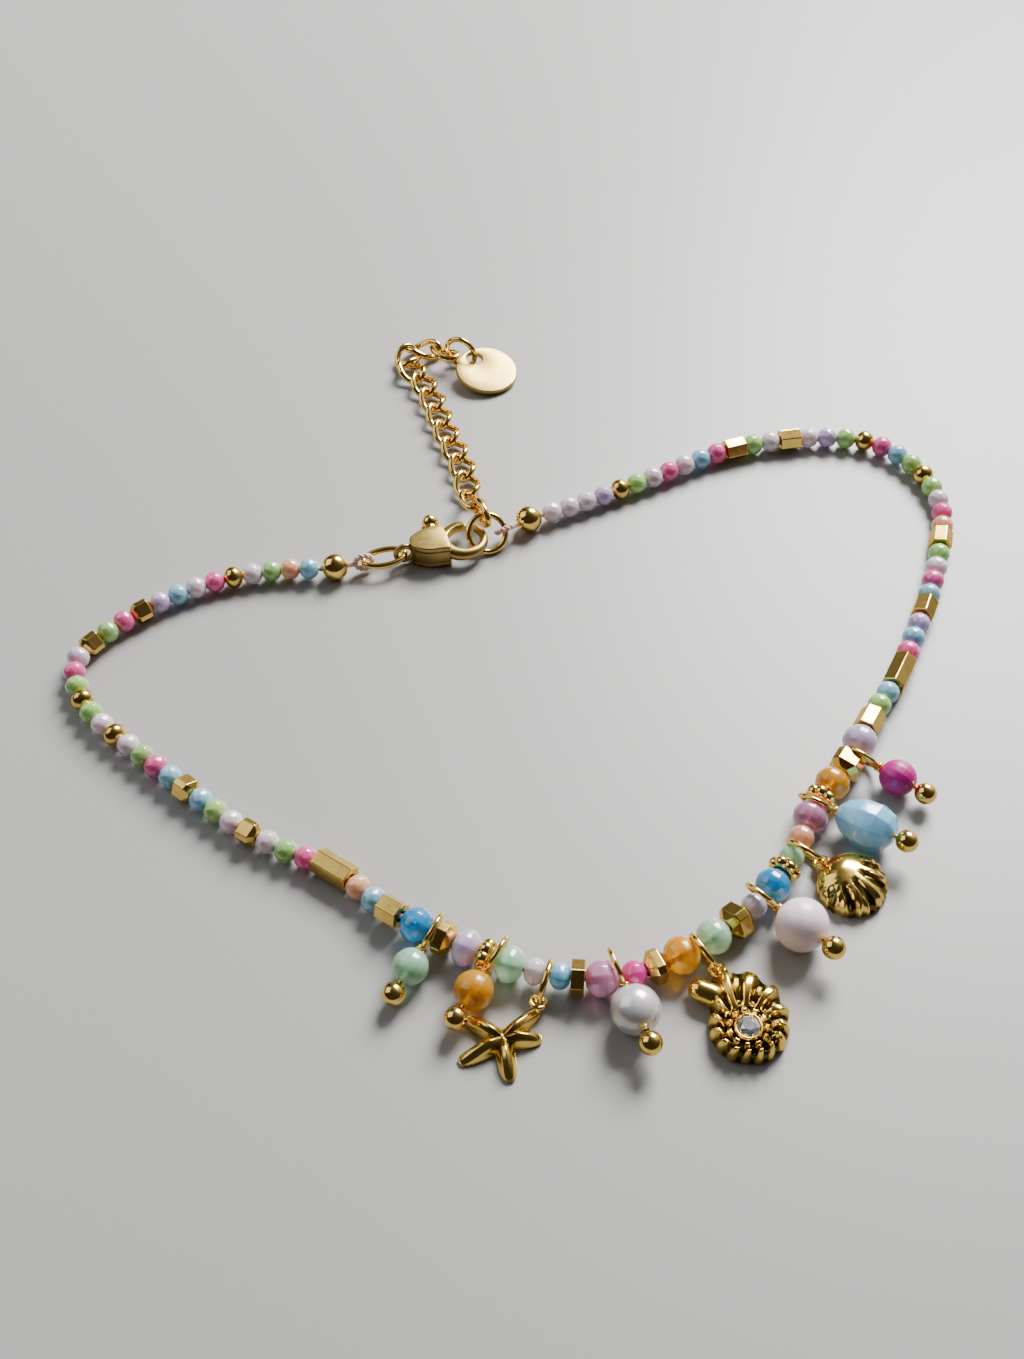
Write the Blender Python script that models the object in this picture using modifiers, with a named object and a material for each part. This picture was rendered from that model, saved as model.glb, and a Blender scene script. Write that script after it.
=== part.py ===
# Anklet of small stones with gold charms, laid out on a flat surface.
# Metres, +Z up. X runs to the right, Y away from the front, and the surface is at z = 0.
# The origin is under the middle of the whole jewel, on the surface.
# The beads follow one closed route, each at its own place along the route's length.

import math

import bmesh
import bpy
from mathutils import Matrix, Vector

MM = 0.001

# Chosen points of the thread, in mm, from the left crimp round the front to the right
# crimp and back through the clasp. The route is fitted to the length of what it carries.
ROUTE_POINTS = [
    (-17.0, 102.0), (-22.4, 102.0), (-28.4, 100.8), (-33.6, 98.2), (-37.8, 94.8), (-40.4, 91.2),
    (-39.8, 87.4), (-37.4, 83.6), (-33.6, 80.0), (-28.6, 75.6), (-24.0, 71.6), (-19.5, 68.7),
    (-15.2, 66.6), (-11.0, 62.7), (-6.7, 59.8), (-1.2, 57.0), (3.5, 55.6), (8.3, 55.6),
    (13.5, 57.8), (18.8, 61.6), (22.3, 66.0), (25.2, 71.2), (28.5, 75.3), (31.3, 80.0),
    (34.7, 85.1), (37.7, 90.8), (40.4, 96.6), (42.6, 102.6), (43.8, 108.0), (42.7, 113.6),
    (39.2, 117.9), (34.4, 119.3), (28.7, 119.0), (22.5, 117.4), (15.4, 113.9), (8.4, 110.6),
    (2.7, 108.2), (-1.4, 106.2), (-9.0, 104.0),
]
# Chosen points of the extender chain, in mm, from the main ring to the tag's ring.
CHAIN_POINTS = [
    (-2.1, 107.4), (-3.5, 111.0), (-4.2, 116.2), (-6.0, 122.0), (-7.4, 127.2), (-8.8, 131.6),
    (-10.9, 134.6), (-9.9, 137.4), (-7.6, 137.3), (-5.9, 135.6),
]
SAMPLES_PER_SPAN = 24

# Small stones and gold beads of the two strings
STONE_LENGTH = 1.97 * MM
STONE_DIAMETER = 2.0 * MM
BALL_LENGTH = 1.95 * MM
BALL_DIAMETER = 2.1 * MM
CUBE_LENGTH = 2.2 * MM
CUBE_DIAMETER = 2.3 * MM
SHORT_TUBE_LENGTH = 2.2 * MM
LONG_TUBE_LENGTH = 3.8 * MM
GOLD_TUBE_DIAMETER = 2.3 * MM

# Thread
THREAD_DIAMETER = 0.5 * MM
NECK_DIAMETER = 0.8 * MM
DRILL_CLEARANCE = 0.3 * MM
END_GAP = 0.3 * MM
BEAD_GAP = 0.2 * MM

# Crimps, thread loops and the oval link
CRIMP_DIAMETER = 2.6 * MM
THREAD_LOOP_HOLE = 1.15 * MM
LOOP_STAND_OFF = 0.45 * MM
LINK_LENGTH = 4.7 * MM
LINK_WIDTH = 2.8 * MM
LINK_WIRE = 0.6 * MM

# Main ring at the hook
MAIN_RING_DIAMETER = 4.2 * MM
MAIN_RING_WIRE = 0.5 * MM
MAIN_RING_LEAN = math.radians(41)
MAIN_RING_ROOM = 0.75 * MM
MAIN_RING_SHIFT = 0.1 * MM

# Clasp. Its own x runs from the tail eye to the hook's end, its y to the lever's side.
CLASP_SHOULDER = 0.3 * MM
CLASP_FRONT_RISE = 0.1 * MM
CLASP_FRONT_CUT = 0.75 * MM
CLASP_EDGE = 0.22 * MM
CLASP_THICKNESS = 2.6 * MM
CLASP_BACK_WIDTH = 1.2 * MM
CLASP_WIDTH = 3.5 * MM
CLASP_NECK = 0.75 * MM
CLASP_FRONT = 4.3 * MM
EYE_HOLE = 1.2 * MM
EYE_WIRE = 0.55 * MM
HOOK_RADIUS = 2.0 * MM
HOOK_CENTRE_X = 6.0 * MM
HOOK_CENTRE_Y = -0.1 * MM
HOOK_WIRE_ROOT = 1.3 * MM
HOOK_WIRE_TIP = 0.85 * MM
HOOK_TIP_ANGLE = math.radians(46)
LEVER_THICKNESS = 0.9 * MM
LEVER_SIDE_GAP = 0.22 * MM
LEVER_ROOT_GAP = 0.3 * MM
LEVER_TIP_INNER = math.radians(64)
LEVER_TIP_OUTER = math.radians(80)
LEVER_BACK_ANGLE = math.radians(142)
GATE_WIDTH = 0.7 * MM
PIVOT_X = 3.2 * MM
PIVOT_Y = 0.45 * MM
PIVOT_DIAMETER = 0.7 * MM
PIVOT_CLEARANCE = 0.2 * MM
LEVER_ROOT_RADIUS = 0.95 * MM
TAB_REACH = 2.3 * MM
TAB_WIDTH = 0.7 * MM
TAB_ROOT_FRONT = 0.35 * MM
TAB_ROOT_BACK = 0.75 * MM
TAB_ROOT_RISE = 0.05 * MM
TAB_TIP_BACK = 0.1 * MM
TAB_TIP_FALL = 0.15 * MM
SLOT_START = 0.9 * MM

# Drops on head pins. The loop goes round the thread and stands on the surface.
PIN_WIRE = 0.4 * MM
PIN_LOOP_DIAMETER = 3.4 * MM
PIN_BALL_DIAMETER = 1.85 * MM
PIN_GAP = 0.2 * MM
PIN_LOOP_ROOM = 0.62 * MM

# Charms, their rings and bails
CHARM_RING_DIAMETER = 3.6 * MM
CHARM_RING_WIRE = 0.5 * MM
CHARM_RING_ROOM = 0.7 * MM
CHARM_RING_REACH = 0.77 * MM
BAIL_HOLE = 1.05 * MM
BAIL_WIRE = 0.42 * MM
CROSSING_ANGLE = math.radians(33)
BAIL_SHIFT = 0.12 * MM
BAIL_LEAN = math.radians(20)
BAIL_SINK = 0.2 * MM

STAR_CORE_DIAMETER = 2.5 * MM
STAR_HEIGHT = 1.5 * MM
STAR_ARM_ROOT = 1.7 * MM
STAR_ARM_TIP = 0.85 * MM

AMMONITE_SMALL_RADIUS = 2.3 * MM
AMMONITE_LARGE_RADIUS = 4.9 * MM
AMMONITE_HEIGHT = 1.9 * MM
AMMONITE_EDGE = 0.5 * MM
AMMONITE_RIBS = 12
AMMONITE_RIB_DEPTH = 0.3 * MM
AMMONITE_WHORL = 1.6 * MM
LOBE_LENGTH = 3.4 * MM
LOBE_DIAMETER = 1.5 * MM
CRYSTAL_DIAMETER = 1.8 * MM
CRYSTAL_DEPTH = 1.0 * MM
CRYSTAL_PROUD = 0.25 * MM
SETTING_CLEARANCE = 0.22 * MM
SETTING_LIP = 0.3 * MM

SCALLOP_LENGTH = 5.8 * MM
SCALLOP_WIDTH = 6.0 * MM
SCALLOP_HEIGHT = 2.3 * MM
SCALLOP_EDGE = 0.5 * MM
SCALLOP_RIBS = 10
SCALLOP_RIB_DEPTH = 0.22 * MM

# Extender chain, tag ring and tag
CHAIN_LINK_LENGTH = 4.35 * MM
CHAIN_LINK_WIDTH = 3.2 * MM
CHAIN_WIRE = 0.7 * MM
CHAIN_GRIP = 0.12 * MM
CHAIN_TWIST = math.radians(45)
CHAIN_HOLD = math.radians(84)
CHAIN_END_PLAY = 0.65 * MM
TAG_END_PLAY = 0.85 * MM
TAG_RING_DIAMETER = 4.0 * MM
TAG_RING_WIRE = 0.6 * MM
TAG_CROSSING = math.radians(20)
TAG_RING_HEADING = math.radians(-25)
TAG_HEADING = math.radians(-48)
TAG_DIAMETER = 6.8 * MM
TAG_THICKNESS = 0.6 * MM
TAG_HOLE = 1.8 * MM
TAG_RIM = 0.45 * MM

# Pieces of the two strings in order: kind and how many in a row
LEFT_STRING = [
    ("stone", 4), ("ball", 1), ("stone", 4), ("cube", 1), ("stone", 2), ("cube", 1),
    ("stone", 3), ("ball", 1), ("stone", 2), ("ball", 1), ("stone", 4), ("cube", 1),
    ("stone", 3), ("cube", 1), ("stone", 3), ("long_tube", 1), ("stone", 2), ("short_tube", 1),
]
RIGHT_STRING = [
    ("stone", 2), ("long_tube", 1), ("stone", 3), ("short_tube", 1), ("stone", 4),
    ("short_tube", 1), ("stone", 4), ("ball", 1), ("stone", 3), ("ball", 1), ("stone", 3),
    ("short_tube", 1), ("stone", 2), ("short_tube", 1), ("stone", 6), ("ball", 1), ("stone", 4),
]
# Shares of the nominal lengths in each part of the jewel: the left stones run shorter
LEFT_PACKING = 0.938
FRONT_PACKING = 0.952
RIGHT_PACKING = 0.985
# kind: length, diameter, share of the length that the shoulders take
STRING_KINDS = {
    "stone": (STONE_LENGTH, STONE_DIAMETER, 0.27),
    "ball": (BALL_LENGTH, BALL_DIAMETER, 0.27),
    "cube": (CUBE_LENGTH, CUBE_DIAMETER, 0.12),
    "short_tube": (SHORT_TUBE_LENGTH, GOLD_TUBE_DIAMETER, 0.08),
    "long_tube": (LONG_TUBE_LENGTH, GOLD_TUBE_DIAMETER, 0.05),
}

# Beads of the front: node, form, colour, length, diameter, what hangs after it
FRONT_BEADS = [
    ("bead_blue_1", "round", "blue", 2.55 * MM, 2.95 * MM, "drop_mint"),
    ("bead_gold_1", "cut", "gold", 1.75 * MM, 2.7 * MM, None),
    ("bead_lilac_1", "round", "lilac", 2.3 * MM, 3.05 * MM, None),
    ("spacer_1", "fluted", "gold", 1.05 * MM, 2.8 * MM, "drop_amber"),
    ("bead_mint_1", "round", "mint", 2.25 * MM, 3.0 * MM, None),
    ("bead_pale_1", "round", "pale", 1.55 * MM, 2.2 * MM, "starfish"),
    ("bead_sky", "round", "sky", 1.55 * MM, 2.15 * MM, None),
    ("disc", "hex", "gold", 1.1 * MM, 2.9 * MM, None),
    ("bead_mauve_1", "round", "mauve", 2.55 * MM, 3.0 * MM, "drop_pearl"),
    ("bead_hot_pink", "round", "hot_pink", 1.8 * MM, 2.25 * MM, None),
    ("bead_gold_2", "cut", "gold", 1.8 * MM, 2.6 * MM, None),
    ("bead_amber_1", "round", "amber", 2.75 * MM, 3.1 * MM, "ammonite"),
    ("bead_mint_2", "round", "mint", 2.6 * MM, 2.95 * MM, None),
    ("bead_gold_3", "cut", "gold", 2.2 * MM, 2.7 * MM, None),
    ("bead_grey", "round", "grey", 1.8 * MM, 2.15 * MM, "drop_rose"),
    ("bead_blue_2", "round", "blue", 2.6 * MM, 2.95 * MM, None),
    ("spacer_2", "fluted", "gold", 1.1 * MM, 2.8 * MM, None),
    ("bead_mint_3", "round", "mint", 1.7 * MM, 2.15 * MM, "scallop"),
    ("bead_peach", "round", "peach", 1.8 * MM, 2.15 * MM, None),
    ("bead_mauve_2", "round", "mauve", 2.6 * MM, 2.95 * MM, "drop_teardrop"),
    ("spacer_3", "fluted", "gold", 1.1 * MM, 2.8 * MM, None),
    ("bead_amber_2", "round", "amber", 2.75 * MM, 3.0 * MM, None),
    ("bead_gold_4", "cut", "gold", 2.4 * MM, 2.75 * MM, "drop_fuchsia"),
    ("bead_lilac_2", "round", "lilac", 2.8 * MM, 3.0 * MM, None),
    ("bead_hex", "hex", "gold", 2.3 * MM, 2.3 * MM, None),
]
FRONT_THREAD_HEIGHT = max(row[4] for row in FRONT_BEADS) / 2
STRING_THREAD_HEIGHT = max(row[1] for row in STRING_KINDS.values()) / 2
CLASP_HEIGHT = max(CRIMP_DIAMETER, CLASP_THICKNESS) / 2
RAMP_LENGTH = 5.0 * MM

# Drops: colour, bead length, bead diameter, loop offset from the thread, swing in degrees
DROPS = {
    "drop_mint": ("mint", 2.9 * MM, 2.9 * MM, 0.0 * MM, 1, -12),
    "drop_amber": ("amber", 3.1 * MM, 3.15 * MM, -0.33 * MM, -7, 0),
    "drop_pearl": ("pearl", 3.85 * MM, 3.85 * MM, -0.7 * MM, 9, 11),
    "drop_rose": ("rose", 4.1 * MM, 4.3 * MM, 0.0 * MM, -5, 13),
    "drop_teardrop": ("sky", 5.0 * MM, 4.3 * MM, 0.0 * MM, -3, 4),
    "drop_fuchsia": ("fuchsia", 3.1 * MM, 3.1 * MM, 0.8 * MM, -9, 6),
}
# Charms: swing of the ring, turn of the charm after its bail and lean of the ring, in degrees
CHARM_SWING = {"starfish": -4, "ammonite": -2, "scallop": -10}
CHARM_TURN = {"starfish": -22, "ammonite": -8, "scallop": -3}
CHARM_LEAN = {"starfish": -8, "ammonite": 10, "scallop": 6}
# Starfish arms: angle from the arm that holds the bail and bend, in degrees, and reach
STAR_ARMS = [
    (0, -6, 3.9 * MM),
    (-49, 10, 2.9 * MM),
    (-124, -8, 3.3 * MM),
    (156, 8, 3.7 * MM),
    (104, -12, 3.4 * MM),
]

COLOURS = {
    "gold": ((0.83, 0.62, 0.30, 1), 0.16, 1.0),
    "thread": ((0.86, 0.80, 0.76, 1), 0.5, 0.0),
    "strings": ((0.72, 0.78, 0.74, 1), 0.25, 0.0),
    "blue": ((0.06, 0.45, 0.68, 1), 0.25, 0.0),
    "lilac": ((0.70, 0.60, 0.74, 1), 0.25, 0.0),
    "mint": ((0.48, 0.70, 0.55, 1), 0.25, 0.0),
    "pale": ((0.80, 0.70, 0.72, 1), 0.25, 0.0),
    "sky": ((0.35, 0.62, 0.76, 1), 0.25, 0.0),
    "mauve": ((0.58, 0.36, 0.50, 1), 0.25, 0.0),
    "hot_pink": ((0.72, 0.14, 0.45, 1), 0.25, 0.0),
    "amber": ((0.80, 0.42, 0.08, 1), 0.25, 0.0),
    "grey": ((0.68, 0.66, 0.68, 1), 0.25, 0.0),
    "peach": ((0.82, 0.52, 0.40, 1), 0.25, 0.0),
    "pearl": ((0.88, 0.86, 0.84, 1), 0.15, 0.0),
    "rose": ((0.85, 0.72, 0.72, 1), 0.30, 0.0),
    "fuchsia": ((0.70, 0.03, 0.38, 1), 0.25, 0.0),
    "crystal": ((0.85, 0.87, 0.90, 1), 0.05, 0.0),
}


# Scene and materials


def clear_scene():
    for item in list(bpy.data.objects):
        bpy.data.objects.remove(item, do_unlink=True)


def new_collection(name):
    collection = bpy.data.collections.new(name)
    bpy.context.scene.collection.children.link(collection)
    return collection


clear_scene()
PARTS = new_collection("anklet")
CUTTERS = new_collection("anklet_cutters")
ROOT = bpy.data.objects.new("anklet_origin", None)
PARTS.objects.link(ROOT)


def material(name):
    found = bpy.data.materials.get(name)
    if found:
        return found
    colour, roughness, metallic = COLOURS[name]
    made = bpy.data.materials.new(name)
    made.use_nodes = True
    shader = made.node_tree.nodes["Principled BSDF"]
    shader.inputs["Base Color"].default_value = colour
    shader.inputs["Roughness"].default_value = roughness
    shader.inputs["Metallic"].default_value = metallic
    return made


def add_part(name, data, colour, place=None):
    item = bpy.data.objects.new(name, data)
    data.materials.append(material(colour))
    item.parent = ROOT
    item.matrix_basis = place or Matrix.Identity(4)
    PARTS.objects.link(item)
    return item


def to_cutters(item):
    PARTS.objects.unlink(item)
    CUTTERS.objects.link(item)
    item.hide_render = True
    item.display_type = "WIRE"
    return item


# Curves of chosen points


def smooth_through(points, closed):
    count = len(points)
    dense = []
    spans = count if closed else count - 1
    for i in range(spans):
        if closed:
            a, b, c, d = (points[(i + k - 1) % count] for k in range(4))
        else:
            b, c = points[i], points[i + 1]
            a = points[i - 1] if i else b
            d = points[i + 2] if i + 2 < count else c
        a, b, c, d = (Vector(p) for p in (a, b, c, d))
        for k in range(SAMPLES_PER_SPAN):
            t = k / SAMPLES_PER_SPAN
            dense.append(
                0.5 * (2 * b + (c - a) * t + (2 * a - 5 * b + 4 * c - d) * t**2
                       + (3 * b - a - 3 * c + d) * t**3)
            )
    dense.append(Vector(points[0 if closed else -1]))
    return dense


class Path:
    """A dense line of points that is read by the length along it."""

    def __init__(self, points):
        self.points = points
        self.lengths = [0.0]
        for before, after in zip(points, points[1:]):
            self.lengths.append(self.lengths[-1] + (after - before).length)
        self.total = self.lengths[-1]

    def at(self, length):
        i = 0
        while i < len(self.lengths) - 2 and self.lengths[i + 1] < length:
            i += 1
        share = (length - self.lengths[i]) / (self.lengths[i + 1] - self.lengths[i])
        return self.points[i].lerp(self.points[i + 1], share)


def fitted_route(total):
    flat = smooth_through([Vector(p) * MM for p in ROUTE_POINTS], True)
    drawn = Path(flat)
    centre = sum(flat, Vector((0, 0))) / len(flat)
    return Path([centre + (p - centre) * total / drawn.total for p in flat])


# Shapes


def tube(name, points, wire, colour, sides_step, closed=False, shares=None, place=None):
    """A wire along a POLY spline with 4 + 2 x sides_step sides."""
    curve = bpy.data.curves.new(name, "CURVE")
    curve.dimensions = "3D"
    curve.bevel_depth = wire / 2
    curve.bevel_resolution = sides_step
    curve.resolution_u = 1
    curve.use_fill_caps = True
    spline = curve.splines.new("POLY")
    spline.points.add(len(points) - 1)
    spline.use_cyclic_u = closed
    for i, point in enumerate(points):
        spline.points[i].co = (*point, 1)
        spline.points[i].radius = shares[i] if shares else 1.0
    return add_part(name, curve, colour, place)


def as_mesh(item):
    """Replaces a curve object by a mesh object of the same shape, with its caps welded."""
    name = item.name
    bpy.context.view_layer.update()
    evaluated = item.evaluated_get(bpy.context.evaluated_depsgraph_get())
    mesh = bpy.data.meshes.new_from_object(evaluated)
    work = bmesh.new()
    work.from_mesh(mesh)
    bmesh.ops.remove_doubles(work, verts=work.verts, dist=0.000001)
    bmesh.ops.recalc_face_normals(work, faces=work.faces)
    work.to_mesh(mesh)
    work.free()
    place = item.matrix_basis.copy()
    bpy.data.objects.remove(item, do_unlink=True)
    made = bpy.data.objects.new(name, mesh)
    made.parent = ROOT
    made.matrix_basis = place
    PARTS.objects.link(made)
    return made


def turned(name, profile, steps, colour, place=None, ring=False):
    """A turned solid. The profile is (radius, height) rows from top to bottom."""
    mesh = bpy.data.meshes.new(name)
    edges = [(i, i + 1) for i in range(len(profile) - 1)]
    if ring:
        edges.append((len(profile) - 1, 0))
    mesh.from_pydata([(r, 0, z) for r, z in profile], edges, [])
    item = add_part(name, mesh, colour, place)
    screw = item.modifiers.new("turn", "SCREW")
    screw.steps = steps
    screw.render_steps = steps
    screw.use_merge_vertices = True
    screw.merge_threshold = 0.00001
    screw.use_smooth_shade = False
    return item


def flat_plate(name, outlines, thickness, colour, place=None):
    """A flat outline, with holes where outlines lie inside the first, made solid."""
    curve = bpy.data.curves.new(name, "CURVE")
    curve.dimensions = "2D"
    curve.fill_mode = "BOTH"
    curve.extrude = thickness / 2
    curve.resolution_u = 1
    for outline in outlines:
        spline = curve.splines.new("POLY")
        spline.points.add(len(outline) - 1)
        spline.use_cyclic_u = True
        for i, (x, y) in enumerate(outline):
            spline.points[i].co = (x, y, 0, 1)
    return add_part(name, curve, colour, place)


def circle(radius, count, centre=(0, 0), turn=0.0):
    return [
        (centre[0] + radius * math.cos(turn + math.tau * k / count),
         centre[1] + radius * math.sin(turn + math.tau * k / count))
        for k in range(count)
    ]


def ring_points(radius, count=10, length=None):
    """Points of a ring, or of a long link when a length is given, in the XY plane."""
    half = (length or 2 * radius) / 2
    return [
        (half * math.cos(math.tau * k / count), radius * math.sin(math.tau * k / count), 0)
        for k in range(count)
    ]


def place_at(centre, along, up=(0, 0, 1)):
    """A frame at centre whose x runs along a direction and whose z is nearest to up."""
    x = Vector(along).normalized()
    y = Vector(up).cross(x).normalized()
    z = x.cross(y)
    made = Matrix((x, y, z)).transposed().to_4x4()
    made.translation = centre
    return made


def fuse(item, others, kind="UNION"):
    for other in others:
        to_cutters(other)
        joint = item.modifiers.new(other.name, "BOOLEAN")
        joint.operation = kind
        joint.solver = "EXACT"
        joint.object = other


def relief(name, colour, segments, rings, outline, height, edge, place=None):
    """A low cast body. outline(angle) is its reach, height(share, angle) its top."""
    work = bmesh.new()
    bmesh.ops.create_uvsphere(work, u_segments=segments, v_segments=2 * rings, radius=1)
    low = [v for v in work.verts if v.co.z < -0.001]
    bmesh.ops.delete(work, geom=low, context="VERTS")
    rim = [e for e in work.edges if e.is_boundary]
    skirt = bmesh.ops.extrude_edge_only(work, edges=rim)["geom"]
    bottom = [v for v in skirt if isinstance(v, bmesh.types.BMVert)]
    for vert in work.verts:
        if vert in bottom:
            continue
        angle = math.atan2(vert.co.y, vert.co.x)
        share = math.acos(max(-1.0, min(1.0, vert.co.z))) / (math.pi / 2)
        reach = outline(angle) * share
        vert.co = (reach * math.cos(angle), reach * math.sin(angle), height(share, angle))
    for vert in bottom:
        angle = math.atan2(vert.co.y, vert.co.x)
        reach = outline(angle) - edge / 3
        vert.co = (reach * math.cos(angle), reach * math.sin(angle), 0)
    bmesh.ops.holes_fill(work, edges=[e for e in work.edges if e.is_boundary], sides=0)
    bmesh.ops.recalc_face_normals(work, faces=work.faces)
    mesh = bpy.data.meshes.new(name)
    work.to_mesh(mesh)
    work.free()
    return add_part(name, mesh, colour, place)


# Where everything is along the route


def spread(runs):
    return [kind for kind, count in runs for _ in range(count)]


def hanger_room(name):
    if name is None:
        return 0.0
    return PIN_LOOP_ROOM if name in DROPS else CHARM_RING_ROOM


LEFT_LENGTH = LEFT_PACKING * sum(STRING_KINDS[kind][0] for kind in spread(LEFT_STRING))
RIGHT_LENGTH = RIGHT_PACKING * sum(STRING_KINDS[kind][0] for kind in spread(RIGHT_STRING))
FRONT_LENGTH = sum(row[3] * FRONT_PACKING + hanger_room(row[5]) for row in FRONT_BEADS)

LOOP_RADIUS = (THREAD_LOOP_HOLE + THREAD_DIAMETER) / 2
LOOP_FROM_CRIMP = CRIMP_DIAMETER / 2 + LOOP_STAND_OFF + LOOP_RADIUS + THREAD_DIAMETER / 2
LINK_REACH = (LINK_LENGTH - LINK_WIRE) / 2
HOOK_END = HOOK_CENTRE_X + HOOK_RADIUS
MAIN_RING_RADIUS = (MAIN_RING_DIAMETER - MAIN_RING_WIRE) / 2
RING_IN_HOOK = HOOK_END - HOOK_WIRE_TIP / 2 - MAIN_RING_ROOM - MAIN_RING_WIRE / 2
RING_FROM_EYE = RING_IN_HOOK + MAIN_RING_RADIUS

S_LEFT_CRIMP = 0.0
S_LEFT = S_LEFT_CRIMP + CRIMP_DIAMETER / 2 + END_GAP
S_FRONT = S_LEFT + LEFT_LENGTH + BEAD_GAP / 2
S_RIGHT = S_FRONT + FRONT_LENGTH + BEAD_GAP / 2
S_RIGHT_CRIMP = S_RIGHT + RIGHT_LENGTH + END_GAP + CRIMP_DIAMETER / 2
S_RIGHT_LOOP = S_RIGHT_CRIMP + LOOP_FROM_CRIMP
S_MAIN_RING = S_RIGHT_LOOP + MAIN_RING_RADIUS
S_EYE = S_MAIN_RING + RING_FROM_EYE
S_LINK = S_EYE + LINK_REACH
S_LEFT_LOOP = S_LINK + LINK_REACH
S_TOTAL = S_LEFT_LOOP + LOOP_FROM_CRIMP
ROUTE = fitted_route(S_TOTAL)


def smooth_step(share):
    share = max(0.0, min(1.0, share))
    return share * share * (3 - 2 * share)


def thread_height(s):
    """The clasp's height at the ends, the strings' on the strings, the front's between."""
    rise = smooth_step((s - S_FRONT + RAMP_LENGTH) / RAMP_LENGTH)
    fall = smooth_step((s - S_RIGHT) / RAMP_LENGTH)
    start = 1 - smooth_step((s - S_LEFT) / RAMP_LENGTH)
    end = smooth_step((s - S_RIGHT_CRIMP + RAMP_LENGTH) / RAMP_LENGTH)
    height = STRING_THREAD_HEIGHT
    height += (FRONT_THREAD_HEIGHT - STRING_THREAD_HEIGHT) * (rise - fall)
    height += (CLASP_HEIGHT - STRING_THREAD_HEIGHT) * max(start, end)
    return height


def thread_at(s):
    flat = ROUTE.at(s % S_TOTAL)
    return Vector((flat.x, flat.y, thread_height(s)))


def thread_direction(s, step=0.4 * MM):
    return (thread_at(s + step) - thread_at(s - step)).normalized()


def bead_place(s):
    """A frame on the thread whose z runs along it."""
    along = thread_direction(s)
    turn = along.to_track_quat("Z", "X").to_matrix().to_4x4()
    turn.translation = thread_at(s)
    return turn


def outward(s, swing=0.0):
    """The level direction away from the loop's middle, swung by some degrees."""
    along = thread_direction(s)
    flat = Vector((along.y, -along.x, 0)).normalized()
    return Matrix.Rotation(math.radians(swing), 3, "Z") @ flat


# Strings


def string_rings(kinds, start, packing):
    """Rows of place along the route and diameter: neck, shoulder, shoulder, neck."""
    rows = []
    s = start
    for kind in kinds:
        length, diameter, shoulder = STRING_KINDS[kind]
        length *= packing
        rows.append((s, NECK_DIAMETER))
        rows.append((s + shoulder * length, diameter))
        rows.append((s + (1 - shoulder) * length, diameter))
        s += length
    rows.append((s, NECK_DIAMETER))
    return rows


def thread_loop(name, crimp_s, way):
    """The loop of thread outside a crimp, and where the thread reaches it."""
    centre = thread_at(crimp_s + way * LOOP_FROM_CRIMP)
    if way > 0:
        centre = main_ring_centre() + clasp_direction() * MAIN_RING_RADIUS
    along = centre - thread_at(crimp_s)
    # the loop faces the wire that it holds: the flat link's or the leaning ring's
    facing = ring_tilt_axis() if way > 0 else Vector((0, 0, 1)).cross(along)
    place = place_at(centre, along, facing)
    loop = tube(name, ring_points(LOOP_RADIUS), THREAD_DIAMETER, "thread", 1, True, place=place)
    return as_mesh(loop), centre - along.normalized() * LOOP_RADIUS


def ring_tilt_axis():
    """The direction in the main ring's plane that rises across the clasp."""
    along = clasp_direction()
    across = Vector((0, 0, 1)).cross(along)
    return across * math.cos(MAIN_RING_LEAN) + Vector((0, 0, 1)) * math.sin(MAIN_RING_LEAN)


def bead_string(name, kinds, start, packing, crimp_s, way):
    rows = string_rings(kinds, start, packing)
    shares = [diameter / STONE_DIAMETER for _, diameter in rows]
    points = [thread_at(s) for s, _ in rows]
    string = as_mesh(tube(name, points, STONE_DIAMETER, "strings", 3, shares=shares))
    end_s = rows[0][0] if way < 0 else rows[-1][0]
    loop, reached = thread_loop(name + "_loop", crimp_s, way)
    tail_points = [thread_at(end_s - way * NECK_DIAMETER / 2), thread_at(crimp_s), reached]
    tail = tube(name + "_tail", tail_points, THREAD_DIAMETER, "thread", 1)
    fuse(string, [as_mesh(tail), loop])
    return string


def make_strings():
    bead_string("bead_string_left", spread(LEFT_STRING), S_LEFT, LEFT_PACKING, S_LEFT_CRIMP, -1)
    bead_string("bead_string_right", spread(RIGHT_STRING), S_RIGHT, RIGHT_PACKING, S_RIGHT_CRIMP, 1)


def make_front_thread():
    first = S_LEFT + LEFT_LENGTH + END_GAP
    last = S_RIGHT - END_GAP
    count = len(FRONT_BEADS) - 2
    points = [thread_at(first + (last - first) * k / (count - 1)) for k in range(count)]
    tube("thread_front", points, THREAD_DIAMETER, "thread", 1)


# Beads of the front


def drilled_profile(form, length, diameter, hole):
    solid = length - BEAD_GAP
    reach = diameter / 2
    if form == "round":
        half = min(solid / 2, length / 2 * math.sqrt(1 - (hole / reach) ** 2))
        shoulder = hole + 0.62 * (reach - hole)
        outer = [(hole, half), (shoulder, 0.76 * half), (reach, 0.27 * half)]
    elif form == "cut":
        half = solid / 2
        outer = [(hole + 0.3 * (reach - hole), half), (reach, 0.42 * half)]
        outer = [(hole, half)] + outer
    else:
        half = solid / 2
        outer = [(hole, half), (reach, half)]
    return outer + [(r, -z) for r, z in reversed(outer)]


def fluted_spacer(name, colour, length, diameter, hole, place, flutes=9):
    reach = diameter / 2
    outline = []
    for k in range(2 * flutes):
        radius = reach if k % 2 == 0 else 0.82 * reach
        angle = math.pi * k / flutes
        outline.append((radius * math.cos(angle), radius * math.sin(angle)))
    bore = list(reversed(circle(hole, 10)))
    return flat_plate(name, [outline, bore], length - BEAD_GAP, colour, place)


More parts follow.
